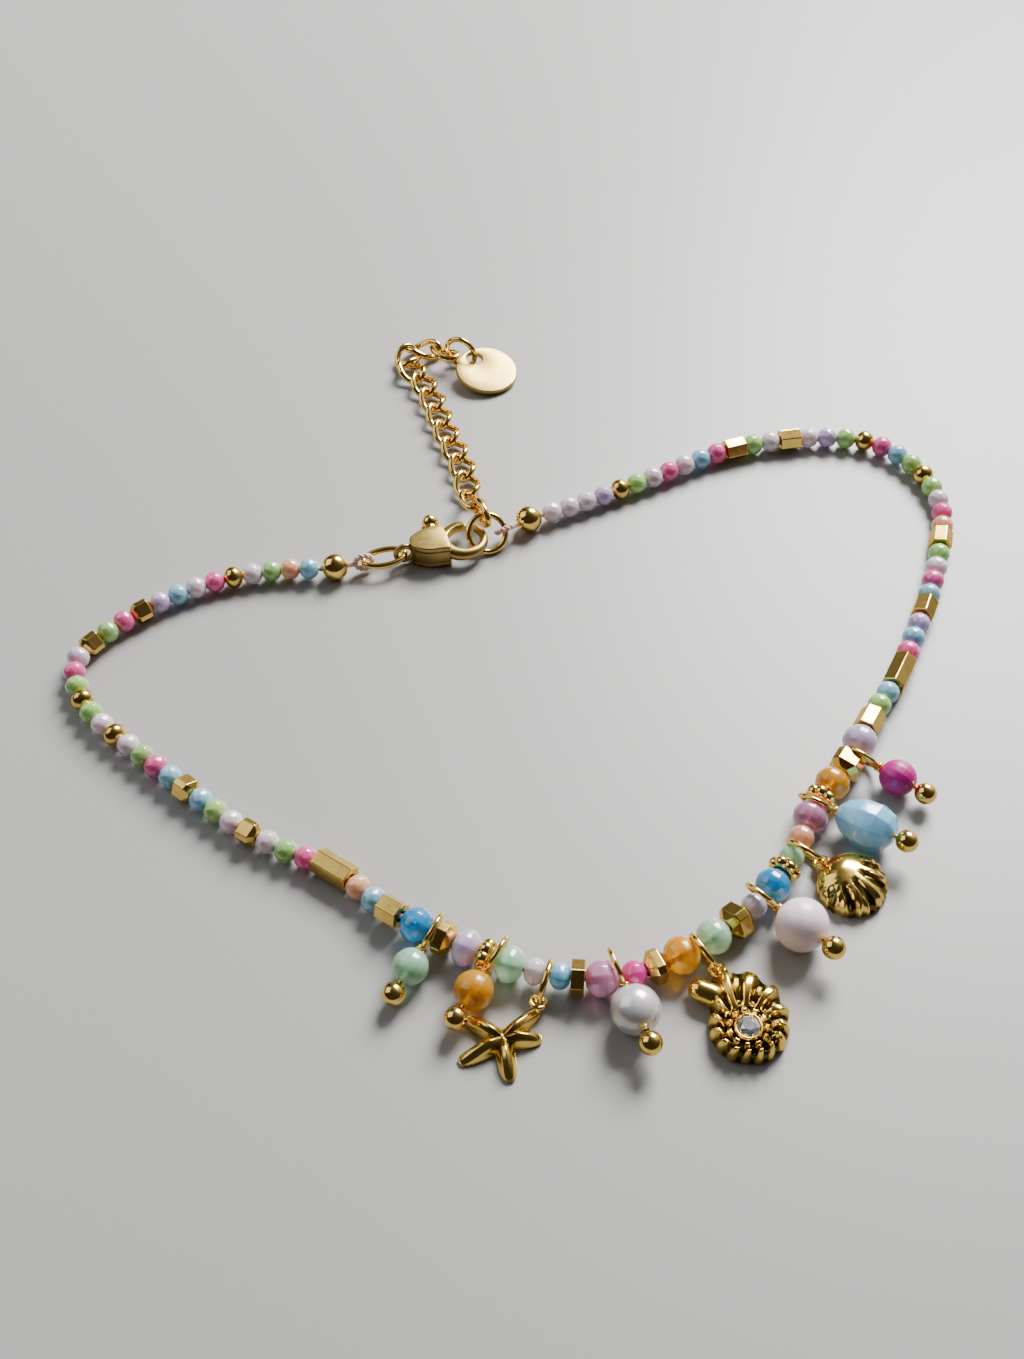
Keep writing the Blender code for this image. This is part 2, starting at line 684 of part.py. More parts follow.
def make_front_beads():
    """Makes the front's beads and returns where each hanger's plane is on the route."""
    hangers = {}
    s = S_FRONT
    sides = {"round": 10, "cut": 8, "hex": 6}
    hole = THREAD_DIAMETER / 2 + DRILL_CLEARANCE
    for name, form, colour, nominal, diameter, hanger in FRONT_BEADS:
        length = nominal * FRONT_PACKING
        place = bead_place(s + length / 2)
        if form == "fluted":
            fluted_spacer(name, colour, length, diameter, hole, place)
        else:
            profile = drilled_profile(form, length, diameter, hole)
            turned(name, profile, sides[form], colour, place, ring=True)
        s += length
        if hanger:
            hangers[hanger] = s + hanger_room(hanger) / 2
            s += hanger_room(hanger)
    return hangers


# Drops


def drop_profile(name, length, diameter, hole):
    """The drop's bead from its top, away from the loop, to its bottom end."""
    reach = diameter / 2
    half = length / 2
    if name == "drop_teardrop":
        rows = [(hole, 1.0), (0.62 * reach, 0.86), (0.97 * reach, 0.42), (reach, 0.1),
                (0.72 * reach, -0.42), (hole, -1.0)]
        return [(r, z * half) for r, z in rows]
    end = half * math.sqrt(1 - (hole / reach) ** 2)
    outer = [(hole, end), (0.66 * reach, 0.75 * half), (0.94 * reach, 0.34 * half)]
    return outer + [(r, -z) for r, z in reversed(outer)]


def make_drop(name, s):
    colour, length, diameter, offset, swing, lean = DROPS[name]
    out = outward(s, swing)
    thread = thread_at(s)
    loop_reach = PIN_LOOP_DIAMETER / 2
    loop_height = max(loop_reach, thread.z)
    centre = thread + out * offset
    centre.z = loop_height
    bead_from_loop = loop_reach + PIN_GAP + length / 2
    rise = (diameter / 2 - loop_height) / bead_from_loop
    along = (out + Vector((0, 0, rise))).normalized()
    side = Vector((0, 0, 1)).cross(out)
    place = place_at(centre, along, side)
    loop_place = place @ Matrix.Rotation(math.radians(lean), 4, "X")
    loop = tube(name + "_loop", ring_points(loop_reach - PIN_WIRE / 2), PIN_WIRE, "gold", 1,
                True, place=loop_place)
    stem_place = place @ Matrix.Rotation(math.pi / 2, 4, "Y")
    stem = PIN_WIRE / 2
    ball = PIN_BALL_DIAMETER / 2
    stem_start = loop_reach - PIN_WIRE * 0.7
    ball_centre = bead_from_loop + length / 2 + PIN_GAP + ball * 0.93
    profile = [(0, ball_centre + ball), (0.71 * ball, ball_centre + 0.71 * ball),
               (ball, ball_centre), (0.71 * ball, ball_centre - 0.71 * ball),
               (stem, ball_centre - 0.95 * ball), (stem, stem_start), (0, stem_start)]
    pin = turned(name + "_pin", profile, 8, "gold", stem_place)
    fuse(pin, [as_mesh(loop)])
    hole = stem + DRILL_CLEARANCE
    bead_place_on_pin = stem_place @ Matrix.Translation((0, 0, bead_from_loop))
    turned(name, drop_profile(name, length, diameter, hole), 12, colour, bead_place_on_pin,
           ring=True)


# Charms


def standing_ring(name, centre, heading, diameter, wire, lean=0.0):
    """A ring that stands on the surface along its heading, leaning to its side."""
    place = place_at(centre, heading, Vector((0, 0, 1)).cross(heading))
    place = place @ Matrix.Rotation(lean, 4, "X")
    return tube(name, ring_points((diameter - wire) / 2), wire, "gold", 1, True, place=place)


def crossing(diameter, wire, angle):
    """Level distance and height, from a standing ring's middle, of what it passes through."""
    radius = (diameter - wire) / 2
    return radius * math.cos(angle), -radius * math.sin(angle)


def bail(name, centre, along):
    """An eye that leans down to the charm."""
    radius = (BAIL_HOLE + BAIL_WIRE) / 2
    place = place_at(centre, along) @ Matrix.Rotation(BAIL_LEAN, 4, "Y")
    return as_mesh(tube(name, ring_points(radius), BAIL_WIRE, "gold", 1, True, place=place))


def charm_frame(name, s):
    """Makes the charm's ring. Returns the bail's centre and the charm's level direction."""
    out = outward(s, CHARM_SWING[name])
    thread = thread_at(s)
    centre = thread + out * CHARM_RING_REACH
    lean = math.radians(CHARM_LEAN[name])
    radius = (CHARM_RING_DIAMETER - CHARM_RING_WIRE) / 2
    centre.z = radius * math.cos(lean) + CHARM_RING_WIRE / 2
    standing_ring(name + "_ring", centre, out, CHARM_RING_DIAMETER, CHARM_RING_WIRE, lean)
    level, height = crossing(CHARM_RING_DIAMETER, CHARM_RING_WIRE, CROSSING_ANGLE)
    rise = Matrix.Rotation(lean, 3, out) @ Vector((0, 0, 1))
    bail_centre = centre + out * (level + BAIL_SHIFT) + rise * height
    turn = Matrix.Rotation(math.radians(CHARM_TURN[name]), 3, "Z")
    return bail_centre, turn @ out


def charm_place(bail_centre, along, distance):
    """A frame on the surface, at a distance from the bail, whose x points back to it."""
    centre = bail_centre + along * distance
    centre.z = 0
    return place_at(centre, -along)


def make_starfish(s):
    bail_centre, along = charm_frame("starfish", s)
    first_reach = STAR_ARMS[0][2]
    place = charm_place(bail_centre, along, first_reach + BAIL_HOLE / 2)
    core_height = STAR_HEIGHT
    arms = []
    for i, (angle, bend, reach) in enumerate(STAR_ARMS):
        points = []
        shares = []
        for share, width in ((0.0, 1.0), (0.55, 0.72), (1.0, 0.0)):
            turn = math.radians(angle + bend * share)
            size = STAR_ARM_TIP + (STAR_ARM_ROOT - STAR_ARM_TIP) * width
            points.append((reach * share * math.cos(turn), reach * share * math.sin(turn),
                           size / 2 * 0.98))
            shares.append(size / STAR_ARM_ROOT)
        arms.append(as_mesh(tube(f"starfish_arm_{i}", points, STAR_ARM_ROOT, "gold", 2,
                                 shares=shares, place=place)))
    core = STAR_CORE_DIAMETER / 2
    profile = [(0, core_height), (0.6 * core, 0.85 * core_height), (core, 0.3 * core_height),
               (core, 0), (0, 0)]
    body = turned("starfish", profile, 10, "gold", place)
    fuse(body, arms + [bail("starfish_bail", bail_centre, along)])


def ammonite_turn(angle):
    """Share of the whorl passed at an angle, from its small end at the back left."""
    return ((angle - math.radians(215)) % math.tau) / math.tau


def ammonite_outline(angle):
    turn = ammonite_turn(angle)
    grown = min(1.0, turn / 0.82)
    fall = smooth_step((turn - 0.86) / 0.14)
    large = AMMONITE_SMALL_RADIUS + (AMMONITE_LARGE_RADIUS - AMMONITE_SMALL_RADIUS) * grown**1.5
    rib = 1 + 0.04 * math.cos(AMMONITE_RIBS * angle)
    return (large + (AMMONITE_SMALL_RADIUS - large) * fall) * rib


def ammonite_height(share, angle):
    reach = ammonite_outline(angle)
    radius = share * reach
    inner = reach - AMMONITE_WHORL * (0.75 + 0.7 * ammonite_turn(angle))
    crown = math.sin(math.pi * smooth_step((radius - inner) / (reach - inner)) ** 0.7)
    hub = 1 - smooth_step(radius / max(inner, 0.3 * MM))
    level = AMMONITE_EDGE + (AMMONITE_HEIGHT - AMMONITE_EDGE) * max(0.35, crown, hub)
    if share > 0.999:
        return AMMONITE_EDGE
    rib = AMMONITE_RIB_DEPTH * (0.5 - 0.5 * math.cos(AMMONITE_RIBS * angle)) * crown
    return level - rib


def make_ammonite(s):
    bail_centre, along = charm_frame("ammonite", s)
    # the whorl's large end lies towards the bail
    facing = math.radians(110)
    distance = ammonite_outline(facing) + BAIL_HOLE / 2 - BAIL_SINK
    place = charm_place(bail_centre, along, distance) @ Matrix.Rotation(-facing, 4, "Z")
    body = relief("ammonite", "gold", 3 * AMMONITE_RIBS, 4, ammonite_outline, ammonite_height,
                  AMMONITE_EDGE, place)
    lobe_height = LOBE_DIAMETER / 2
    start = Vector((AMMONITE_SMALL_RADIUS * math.cos(math.radians(160)),
                    AMMONITE_SMALL_RADIUS * math.sin(math.radians(160)), lobe_height)) * 0.62
    start.z = lobe_height
    heading = Vector((math.cos(math.radians(150)), math.sin(math.radians(150)), 0))
    rows = ((0.0, 0.8), (0.3, 1.0), (0.75, 1.0), (0.93, 0.75), (1.0, 0.35))
    points = [start + heading * LOBE_LENGTH * share for share, _ in rows]
    lobe = tube("ammonite_lobe", points, LOBE_DIAMETER, "gold", 2,
                shares=[size for _, size in rows], place=place)
    seat = CRYSTAL_DIAMETER / 2 + SETTING_CLEARANCE
    lip_top = AMMONITE_HEIGHT + 0.1 * MM
    collar_profile = [(seat + SETTING_LIP, lip_top), (seat + 1.5 * SETTING_LIP, 0.3 * MM),
                      (0, 0.3 * MM)]
    collar = turned("ammonite_collar", [(0, lip_top)] + collar_profile, 12, "gold", place)
    pocket_floor = lip_top + CRYSTAL_PROUD - CRYSTAL_DEPTH - SETTING_CLEARANCE
    pocket = turned("ammonite_pocket", [(0, lip_top + MM), (seat, lip_top + MM),
                                        (seat, pocket_floor), (0, pocket_floor)],
                    12, "gold", place)
    fuse(body, [as_mesh(lobe), collar, bail("ammonite_bail", bail_centre, along)])
    fuse(body, [pocket], "DIFFERENCE")
    girdle = CRYSTAL_DIAMETER / 2
    table = 0.55 * girdle
    crown_z = lip_top + CRYSTAL_PROUD
    profile = [(0, crown_z), (table, crown_z), (girdle, crown_z - 0.35 * CRYSTAL_DEPTH),
               (girdle, crown_z - 0.45 * CRYSTAL_DEPTH), (0.4 * girdle, crown_z - CRYSTAL_DEPTH),
               (0, crown_z - CRYSTAL_DEPTH)]
    turned("crystal", profile, 8, "crystal", place)


def scallop_fan(angle):
    """From 0 at the hinge's side to 1 at the shell's far edge."""
    return 0.5 - 0.5 * math.cos(angle)


def scallop_outline(angle):
    fan = scallop_fan(angle)
    half_length = SCALLOP_LENGTH / 2
    half_width = SCALLOP_WIDTH / 2
    reach = 1 / math.sqrt((math.cos(angle) / half_length) ** 2
                          + (math.sin(angle) / half_width) ** 2)
    rib = 1 + 0.035 * fan * math.cos(2 * SCALLOP_RIBS * angle)
    return reach * rib * (1 - 0.12 * (1 - fan) ** 3)


def scallop_height(share, angle):
    if share > 0.999:
        return SCALLOP_EDGE
    fan = scallop_fan(angle)
    peak = SCALLOP_EDGE + (SCALLOP_HEIGHT - SCALLOP_EDGE) * math.sqrt(1 - share**2)
    tilt = 1 - 0.22 * share * math.cos(math.pi - angle)
    rib = SCALLOP_RIB_DEPTH * fan * share * math.cos(2 * SCALLOP_RIBS * angle)
    return peak * tilt + rib


def make_scallop(s):
    bail_centre, along = charm_frame("scallop", s)
    place = charm_place(bail_centre, along, scallop_outline(0) + BAIL_HOLE / 2 - BAIL_SINK)
    body = relief("scallop", "gold", 4 * SCALLOP_RIBS, 4, scallop_outline, scallop_height,
                  SCALLOP_EDGE, place)
    fuse(body, [bail("scallop_bail", bail_centre, along)])


# Crimps, link and clasp


def make_crimp(name, s):
    reach = CRIMP_DIAMETER / 2
    hole = THREAD_DIAMETER / 2 + DRILL_CLEARANCE
    half = math.sqrt(reach**2 - hole**2)
    outer = [(hole, half), (0.68 * reach, 0.75 * reach), (0.96 * reach, 0.33 * reach)]
    profile = outer + [(r, -z) for r, z in reversed(outer)]
    turned(name, profile, 10, "gold", bead_place(s), ring=True)


def clasp_direction():
    return (thread_at(S_MAIN_RING) - thread_at(S_EYE)).normalized()


def make_link():
    centre = thread_at(S_LINK)
    along = thread_at(S_EYE) - thread_at(S_LEFT_LOOP)
    points = ring_points((LINK_WIDTH - LINK_WIRE) / 2, 12, LINK_LENGTH - LINK_WIRE)
    tube("oval_link", points, LINK_WIRE, "gold", 1, True, place=place_at(centre, along))


def spaced(first, last, count):
    return [first + (last - first) * k / (count - 1) for k in range(count)]


def hook_point(angle, radius):
    return (HOOK_CENTRE_X + radius * math.cos(angle), HOOK_CENTRE_Y + radius * math.sin(angle))


def clasp_outline():
    """Right of the tail: the thick body that holds the lever's pivot."""
    low = HOOK_CENTRE_Y - CLASP_WIDTH / 2
    high = HOOK_CENTRE_Y + CLASP_WIDTH / 2
    back = CLASP_BACK_WIDTH / 2
    span = CLASP_FRONT - CLASP_NECK
    return [
        (CLASP_NECK, -back), (CLASP_NECK + 0.32 * span, low + CLASP_SHOULDER),
        (CLASP_NECK + 0.75 * span, low), (CLASP_FRONT, low + CLASP_FRONT_RISE),
        (CLASP_FRONT, high - CLASP_FRONT_CUT), (CLASP_NECK + 0.8 * span, high),
        (CLASP_NECK + 0.32 * span, high - CLASP_SHOULDER), (CLASP_NECK, back),
    ]


def lever_outline():
    """The gate along the hook's circle, the root round the pivot, and the thumb tab."""
    inner = HOOK_RADIUS - GATE_WIDTH / 2
    outer = HOOK_RADIUS + GATE_WIDTH / 2
    gate_inner = [hook_point(a, inner) for a in spaced(LEVER_BACK_ANGLE, LEVER_TIP_INNER, 5)]
    gate_outer = [hook_point(a, outer) for a in spaced(LEVER_TIP_OUTER, LEVER_BACK_ANGLE, 5)]
    root = [
        (PIVOT_X + LEVER_ROOT_RADIUS * math.cos(a), PIVOT_Y + LEVER_ROOT_RADIUS * math.sin(a))
        for a in (math.radians(d) for d in (175, 220, 265, 310, 350))
    ]
    tab = [
        (PIVOT_X + TAB_ROOT_FRONT, PIVOT_Y + LEVER_ROOT_RADIUS + TAB_ROOT_RISE),
        (PIVOT_X - TAB_TIP_BACK, PIVOT_Y + TAB_REACH),
        (PIVOT_X - TAB_TIP_BACK - TAB_WIDTH, PIVOT_Y + TAB_REACH - TAB_TIP_FALL),
        (PIVOT_X - TAB_ROOT_BACK, PIVOT_Y + LEVER_ROOT_RADIUS),
    ]
    return root + gate_inner + gate_outer + tab


def make_clasp():
    eye = thread_at(S_EYE)
    along = clasp_direction()
    place = place_at(eye, along)
    body = as_mesh(flat_plate("clasp_body", [clasp_outline()], CLASP_THICKNESS, "gold", place))
    edges = body.modifiers.new("edges", "BEVEL")
    edges.width = CLASP_EDGE
    edges.segments = 1
    angles = [math.radians(d) for d in (205, 240, 270, 300, 330, 0)]
    angles.append(HOOK_TIP_ANGLE * 0.5)
    angles.append(HOOK_TIP_ANGLE)
    count = len(angles) - 1
    sizes = [
        HOOK_WIRE_ROOT + (HOOK_WIRE_TIP - HOOK_WIRE_ROOT) * min(1.0, k / (count - 2.5))
        for k in range(count + 1)
    ]
    points = [(*hook_point(a, HOOK_RADIUS), 0) for a in angles]
    hook = tube("clasp_hook", points, HOOK_WIRE_ROOT, "gold", 2,
                shares=[size / HOOK_WIRE_ROOT for size in sizes], place=place)
    slot_height = LEVER_THICKNESS + 2 * LEVER_SIDE_GAP
    floor_y = PIVOT_Y - LEVER_ROOT_RADIUS - LEVER_ROOT_GAP
    slot_outline = [(CLASP_NECK + SLOT_START, floor_y), (CLASP_FRONT + MM, floor_y),
                    (CLASP_FRONT + MM, CLASP_WIDTH), (CLASP_NECK + SLOT_START, CLASP_WIDTH)]
    slot = flat_plate("clasp_slot", [slot_outline], slot_height, "gold", place)
    half = CLASP_THICKNESS / 2 - 0.25 * MM
    pin_place = place @ Matrix.Translation((PIVOT_X, PIVOT_Y, 0))
    pin_radius = PIVOT_DIAMETER / 2
    pin = turned("clasp_pin", [(0, half), (pin_radius, half), (pin_radius, -half), (0, -half)],
                 10, "gold", pin_place)
    eye_radius = (EYE_HOLE + EYE_WIRE) / 2
    side = Vector((0, 0, 1)).cross(along)
    eye_ring = tube("clasp_eye", ring_points(eye_radius), EYE_WIRE, "gold", 1, True,
                    place=place_at(eye, along, side))
    fuse(body, [as_mesh(slot)], "DIFFERENCE")
    fuse(body, [as_mesh(hook), pin, as_mesh(eye_ring)])
    bore = circle(PIVOT_DIAMETER / 2 + PIVOT_CLEARANCE, 10, (PIVOT_X, PIVOT_Y))
    lever = flat_plate("clasp_lever", [lever_outline(), list(reversed(bore))], LEVER_THICKNESS,
                       "gold", place)
    # the lever's origin sits on its pivot
    shift = Matrix.Translation((-PIVOT_X, -PIVOT_Y, 0))
    lever.data.transform(shift)
    lever.matrix_basis = place @ Matrix.Translation((PIVOT_X, PIVOT_Y, 0))


# Main ring, chain and tag


def main_ring_centre():
    side = Vector((0, 0, 1)).cross(clasp_direction())
    centre = thread_at(S_MAIN_RING) - side * MAIN_RING_SHIFT
    lowest = MAIN_RING_RADIUS * math.sin(MAIN_RING_LEAN) + MAIN_RING_WIRE / 2
    centre.z = max(centre.z, lowest)
    return centre


def make_main_ring():
    along = clasp_direction()
    rise = ring_tilt_axis()
    place = place_at(main_ring_centre(), along, along.cross(rise))
    tube("main_ring", ring_points(MAIN_RING_RADIUS, 14), MAIN_RING_WIRE, "gold", 1, True,
         place=place)


def chain_link(name, start, end, roll_start, roll_end):
    """One link from joint to joint, twisted along its length as in a curb chain."""
    along = end - start
    place = place_at((start + end) / 2, along)
    half = (CHAIN_LINK_LENGTH - CHAIN_WIRE) / 2
    side = (CHAIN_LINK_WIDTH - CHAIN_WIRE) / 2
    points = []
    for k in range(10):
        angle = math.tau * k / 10
        share = 0.5 + 0.5 * math.cos(angle)
        roll = roll_start + (roll_end - roll_start) * share
        across = side * math.sin(angle)
        points.append((half * math.cos(angle), across * math.cos(roll), across * math.sin(roll)))
    return as_mesh(tube(name, points, CHAIN_WIRE, "gold", 1, True, place=place))


def joined(name, items):
    work = bmesh.new()
    for item in items:
        start = len(work.verts)
        work.from_mesh(item.data)
        work.verts.ensure_lookup_table()
        fresh = [work.verts[i] for i in range(start, len(work.verts))]
        bmesh.ops.transform(work, matrix=item.matrix_basis, verts=fresh)
        bpy.data.objects.remove(item, do_unlink=True)
    mesh = bpy.data.meshes.new(name)
    work.to_mesh(mesh)
    work.free()
    return add_part(name, mesh, "gold")


def make_chain():
    """Makes the chain and returns its last joint, which the tag's ring passes through."""
    ring_centre = main_ring_centre()
    along = clasp_direction()
    rise = ring_tilt_axis()
    held = ring_centre + MAIN_RING_RADIUS * (along * math.cos(CHAIN_HOLD)
                                             + rise * math.sin(CHAIN_HOLD))
    level = CHAIN_LINK_WIDTH / 4 + CHAIN_WIRE / 4
    pitch = CHAIN_LINK_LENGTH - 2 * CHAIN_WIRE + CHAIN_GRIP
    flat = [Vector(p) * MM for p in CHAIN_POINTS]
    first_way = (flat[1] - flat[0]).normalized() * CHAIN_END_PLAY
    last_way = (flat[-1] - flat[-2]).normalized() * TAG_END_PLAY
    ends = Vector((held.x, held.y)) - first_way, flat[-1] + last_way
    path = Path(smooth_through([ends[0]] + flat[1:-1] + [ends[1]], False))
    count = round(path.total / pitch)
    step = path.total / count
    joints = []
    for k in range(count + 1):
        spot = path.at(min(path.total, k * step))
        height = level + (held.z - level) * (1 - smooth_step(k / 2))
        joints.append(Vector((spot.x, spot.y, height)))
    ring_drop = crossing(TAG_RING_DIAMETER, TAG_RING_WIRE, TAG_CROSSING)[1]
    joints[-1].z = TAG_RING_DIAMETER / 2 + ring_drop
    rolls = [(-CHAIN_TWIST, CHAIN_TWIST)] * count
    rolls[0] = (math.pi / 2, math.pi / 2)
    rolls[1] = (0.0, CHAIN_TWIST)
    rolls[-1] = (-CHAIN_TWIST, 0.0)
    links = [
        chain_link(f"chain_link_{k}", joints[k], joints[k + 1], *rolls[k])
        for k in range(count)
    ]
    chain = joined("extender_chain", links[0::2])
    fuse(chain, [joined("extender_chain_even", links[1::2])])
    return joints[-1] - Vector((last_way.x, last_way.y, 0))


def make_tag(last_joint):
    heading = Vector((math.cos(TAG_RING_HEADING), math.sin(TAG_RING_HEADING), 0))
    level, drop = crossing(TAG_RING_DIAMETER, TAG_RING_WIRE, TAG_CROSSING)
    centre = last_joint + heading * level
    centre.z = TAG_RING_DIAMETER / 2
    standing_ring("tag_ring", centre, heading, TAG_RING_DIAMETER, TAG_RING_WIRE)
    hole_centre = centre + heading * level + Vector((0, 0, drop))
    tag_along = Vector((math.cos(TAG_HEADING), math.sin(TAG_HEADING), 0))
    reach = TAG_DIAMETER / 2
    hole_reach = reach - TAG_RIM - TAG_HOLE / 2
    slope = math.asin((hole_centre.z - TAG_THICKNESS / 2) / (reach + hole_reach))
    down = tag_along * math.cos(slope) - Vector((0, 0, math.sin(slope)))
    place = place_at(hole_centre + down * hole_reach, down)
    outline = circle(reach, 28)
    bore = list(reversed(circle(TAG_HOLE / 2, 12, (-hole_reach, 0))))
    flat_plate("tag", [outline, bore], TAG_THICKNESS, "gold", place)


def seat_on_origin():
    """Moves the whole jewel so that the origin is under its middle, on the surface."""
    bpy.context.view_layer.update()
    graph = bpy.context.evaluated_depsgraph_get()
    low = Vector((math.inf,) * 3)
    high = -low
    for item in PARTS.objects:
        if item == ROOT:
            continue
        seen = item.evaluated_get(graph)
        for vert in seen.to_mesh().vertices:
            spot = seen.matrix_world @ vert.co
            low = Vector(map(min, low, spot))
            high = Vector(map(max, high, spot))
    ROOT.location = (-(low.x + high.x) / 2, -(low.y + high.y) / 2, -low.z)


def build():
    make_strings()
    make_front_thread()
    hangers = make_front_beads()
    for name in DROPS:
        make_drop(name, hangers[name])
    make_starfish(hangers["starfish"])
    make_ammonite(hangers["ammonite"])
    make_scallop(hangers["scallop"])
    make_crimp("crimp_left", S_LEFT_CRIMP)
    make_crimp("crimp_right", S_RIGHT_CRIMP)
    make_link()
    make_clasp()
    make_main_ring()
    make_tag(make_chain())
    seat_on_origin()


build()
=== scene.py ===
import bmesh
import bpy
import random
from math import acos, asin, atan2, cos, degrees, exp, hypot, pi, radians, sin, sqrt, tau
from mathutils import Matrix, Vector


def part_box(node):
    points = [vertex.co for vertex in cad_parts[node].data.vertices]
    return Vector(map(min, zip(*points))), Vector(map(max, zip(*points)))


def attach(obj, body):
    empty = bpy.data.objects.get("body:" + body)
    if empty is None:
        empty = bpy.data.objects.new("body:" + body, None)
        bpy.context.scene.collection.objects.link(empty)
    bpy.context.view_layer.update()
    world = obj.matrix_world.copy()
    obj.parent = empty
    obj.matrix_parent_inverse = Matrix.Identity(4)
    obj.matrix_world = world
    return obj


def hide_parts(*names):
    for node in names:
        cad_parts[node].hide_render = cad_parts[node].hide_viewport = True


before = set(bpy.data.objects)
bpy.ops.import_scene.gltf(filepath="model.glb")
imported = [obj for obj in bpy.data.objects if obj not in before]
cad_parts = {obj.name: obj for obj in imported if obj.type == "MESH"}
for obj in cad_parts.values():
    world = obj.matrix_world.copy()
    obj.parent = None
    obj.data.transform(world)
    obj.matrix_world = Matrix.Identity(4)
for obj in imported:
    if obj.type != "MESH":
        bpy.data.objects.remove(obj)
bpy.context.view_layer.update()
rootBody = "anklet"
leverBody = "clasp_lever"
metres = 0.001  # sizes below are in mm
upward = Vector((0, 0, 1))
draw = random.Random(41)

# Route of the thread, as the solids have it

routePoints = [
    (-17.0, 102.0), (-22.4, 102.0), (-28.4, 100.8), (-33.6, 98.2), (-37.8, 94.8), (-40.4, 91.2),
    (-39.8, 87.4), (-37.4, 83.6), (-33.6, 80.0), (-28.6, 75.6), (-24.0, 71.6), (-19.5, 68.7),
    (-15.2, 66.6), (-11.0, 62.7), (-6.7, 59.8), (-1.2, 57.0), (3.5, 55.6), (8.3, 55.6),
    (13.5, 57.8), (18.8, 61.6), (22.3, 66.0), (25.2, 71.2), (28.5, 75.3), (31.3, 80.0),
    (34.7, 85.1), (37.7, 90.8), (40.4, 96.6), (42.6, 102.6), (43.8, 108.0), (42.7, 113.6),
    (39.2, 117.9), (34.4, 119.3), (28.7, 119.0), (22.5, 117.4), (15.4, 113.9), (8.4, 110.6),
    (2.7, 108.2), (-1.4, 106.2), (-9.0, 104.0),
]
chainPoints = [
    (-2.1, 107.4), (-3.5, 111.0), (-4.2, 116.2), (-6.0, 122.0), (-7.4, 127.2), (-8.8, 131.6),
    (-10.9, 134.6), (-9.9, 137.4), (-7.6, 137.3), (-5.9, 135.6),
]
samplesPerSpan = 24

# String pieces in order: a colour is a small stone, the others are gold
leftString = (
    "sky peach leaf pale ball rose pale sky lilac cube rose leaf cube pale rose leaf ball leaf "
    "pale ball pale leaf rose sky cube sky leaf pale cube pale leaf rose longTube peach sky "
    "shortTube"
).split()
rightString = (
    "leaf sky longTube rose sky lilac shortTube sky rose pale leaf shortTube peach rose pale "
    "leaf ball leaf sky rose ball leaf lilac pale shortTube pale leaf shortTube rose sky pale "
    "rose pale leaf ball lilac pale pale pale"
).split()
stringKinds = {
    "stone": dict(length=1.97, diameter=2.0),
    "ball": dict(length=1.95, diameter=2.1),
    "cube": dict(length=2.2, diameter=2.3),
    "shortTube": dict(length=2.2, diameter=2.3),
    "longTube": dict(length=3.8, diameter=2.3),
}
packing = dict(left=0.938, front=0.952, right=0.985)
stoneTints = {
    "sky": (0.30, 0.60, 0.78),
    "peach": (0.90, 0.46, 0.26),
    "leaf": (0.38, 0.66, 0.20),
    "pale": (0.80, 0.68, 0.76),
    "rose": (0.82, 0.12, 0.36),
    "lilac": (0.62, 0.48, 0.76),
}

# Front beads: node, form, colour, length, diameter, what hangs after it
frontBeads = [
    ("bead_blue_1", "round", "blue", 2.55, 2.95, "drop_mint"),
    ("bead_gold_1", "cut", "gold", 1.75, 2.7, None),
    ("bead_lilac_1", "round", "lilac", 2.3, 3.05, None),
    ("spacer_1", "fluted", "gold", 1.05, 2.8, "drop_amber"),
    ("bead_mint_1", "round", "mint", 2.25, 3.0, None),
    ("bead_pale_1", "round", "pale", 1.55, 2.2, "starfish"),
    ("bead_sky", "round", "sky", 1.55, 2.15, None),
    ("disc", "hex", "gold", 1.1, 2.9, None),
    ("bead_mauve_1", "round", "mauve", 2.55, 3.0, "drop_pearl"),
    ("bead_hot_pink", "round", "hot_pink", 1.8, 2.25, None),
    ("bead_gold_2", "cut", "gold", 1.8, 2.6, None),
    ("bead_amber_1", "round", "amber", 2.75, 3.1, "ammonite"),
    ("bead_mint_2", "round", "mint", 2.6, 2.95, None),
    ("bead_gold_3", "cut", "gold", 2.2, 2.7, None),
    ("bead_grey", "round", "grey", 1.8, 2.15, "drop_rose"),
    ("bead_blue_2", "round", "blue", 2.6, 2.95, None),
    ("spacer_2", "fluted", "gold", 1.1, 2.8, None),
    ("bead_mint_3", "round", "mint", 1.7, 2.15, "scallop"),
    ("bead_peach", "round", "peach", 1.8, 2.15, None),
    ("bead_mauve_2", "round", "mauve", 2.6, 2.95, "drop_teardrop"),
    ("spacer_3", "fluted", "gold", 1.1, 2.8, None),
    ("bead_amber_2", "round", "amber", 2.75, 3.0, None),
    ("bead_gold_4", "cut", "gold", 2.4, 2.75, "drop_fuchsia"),
    ("bead_lilac_2", "round", "lilac", 2.8, 3.0, None),
    ("bead_hex", "hex", "gold", 2.3, 2.3, None),
]
# Drops: colour, bead length, bead diameter, loop offset, swing and lean in degrees
drops = {
    "drop_mint": ("mint", 2.9, 2.9, 0.0, 1, -17),
    "drop_amber": ("amber", 3.1, 3.15, -0.33, -7, -14),
    "drop_pearl": ("pearl", 3.85, 3.85, -0.7, 9, 12.5),
    "drop_rose": ("rose", 4.1, 4.3, 0.0, -5, 25),
    "drop_teardrop": ("sky", 5.0, 4.3, 0.0, -3, 29),
    "drop_fuchsia": ("fuchsia", 3.1, 3.1, 0.8, -9, 29),
}

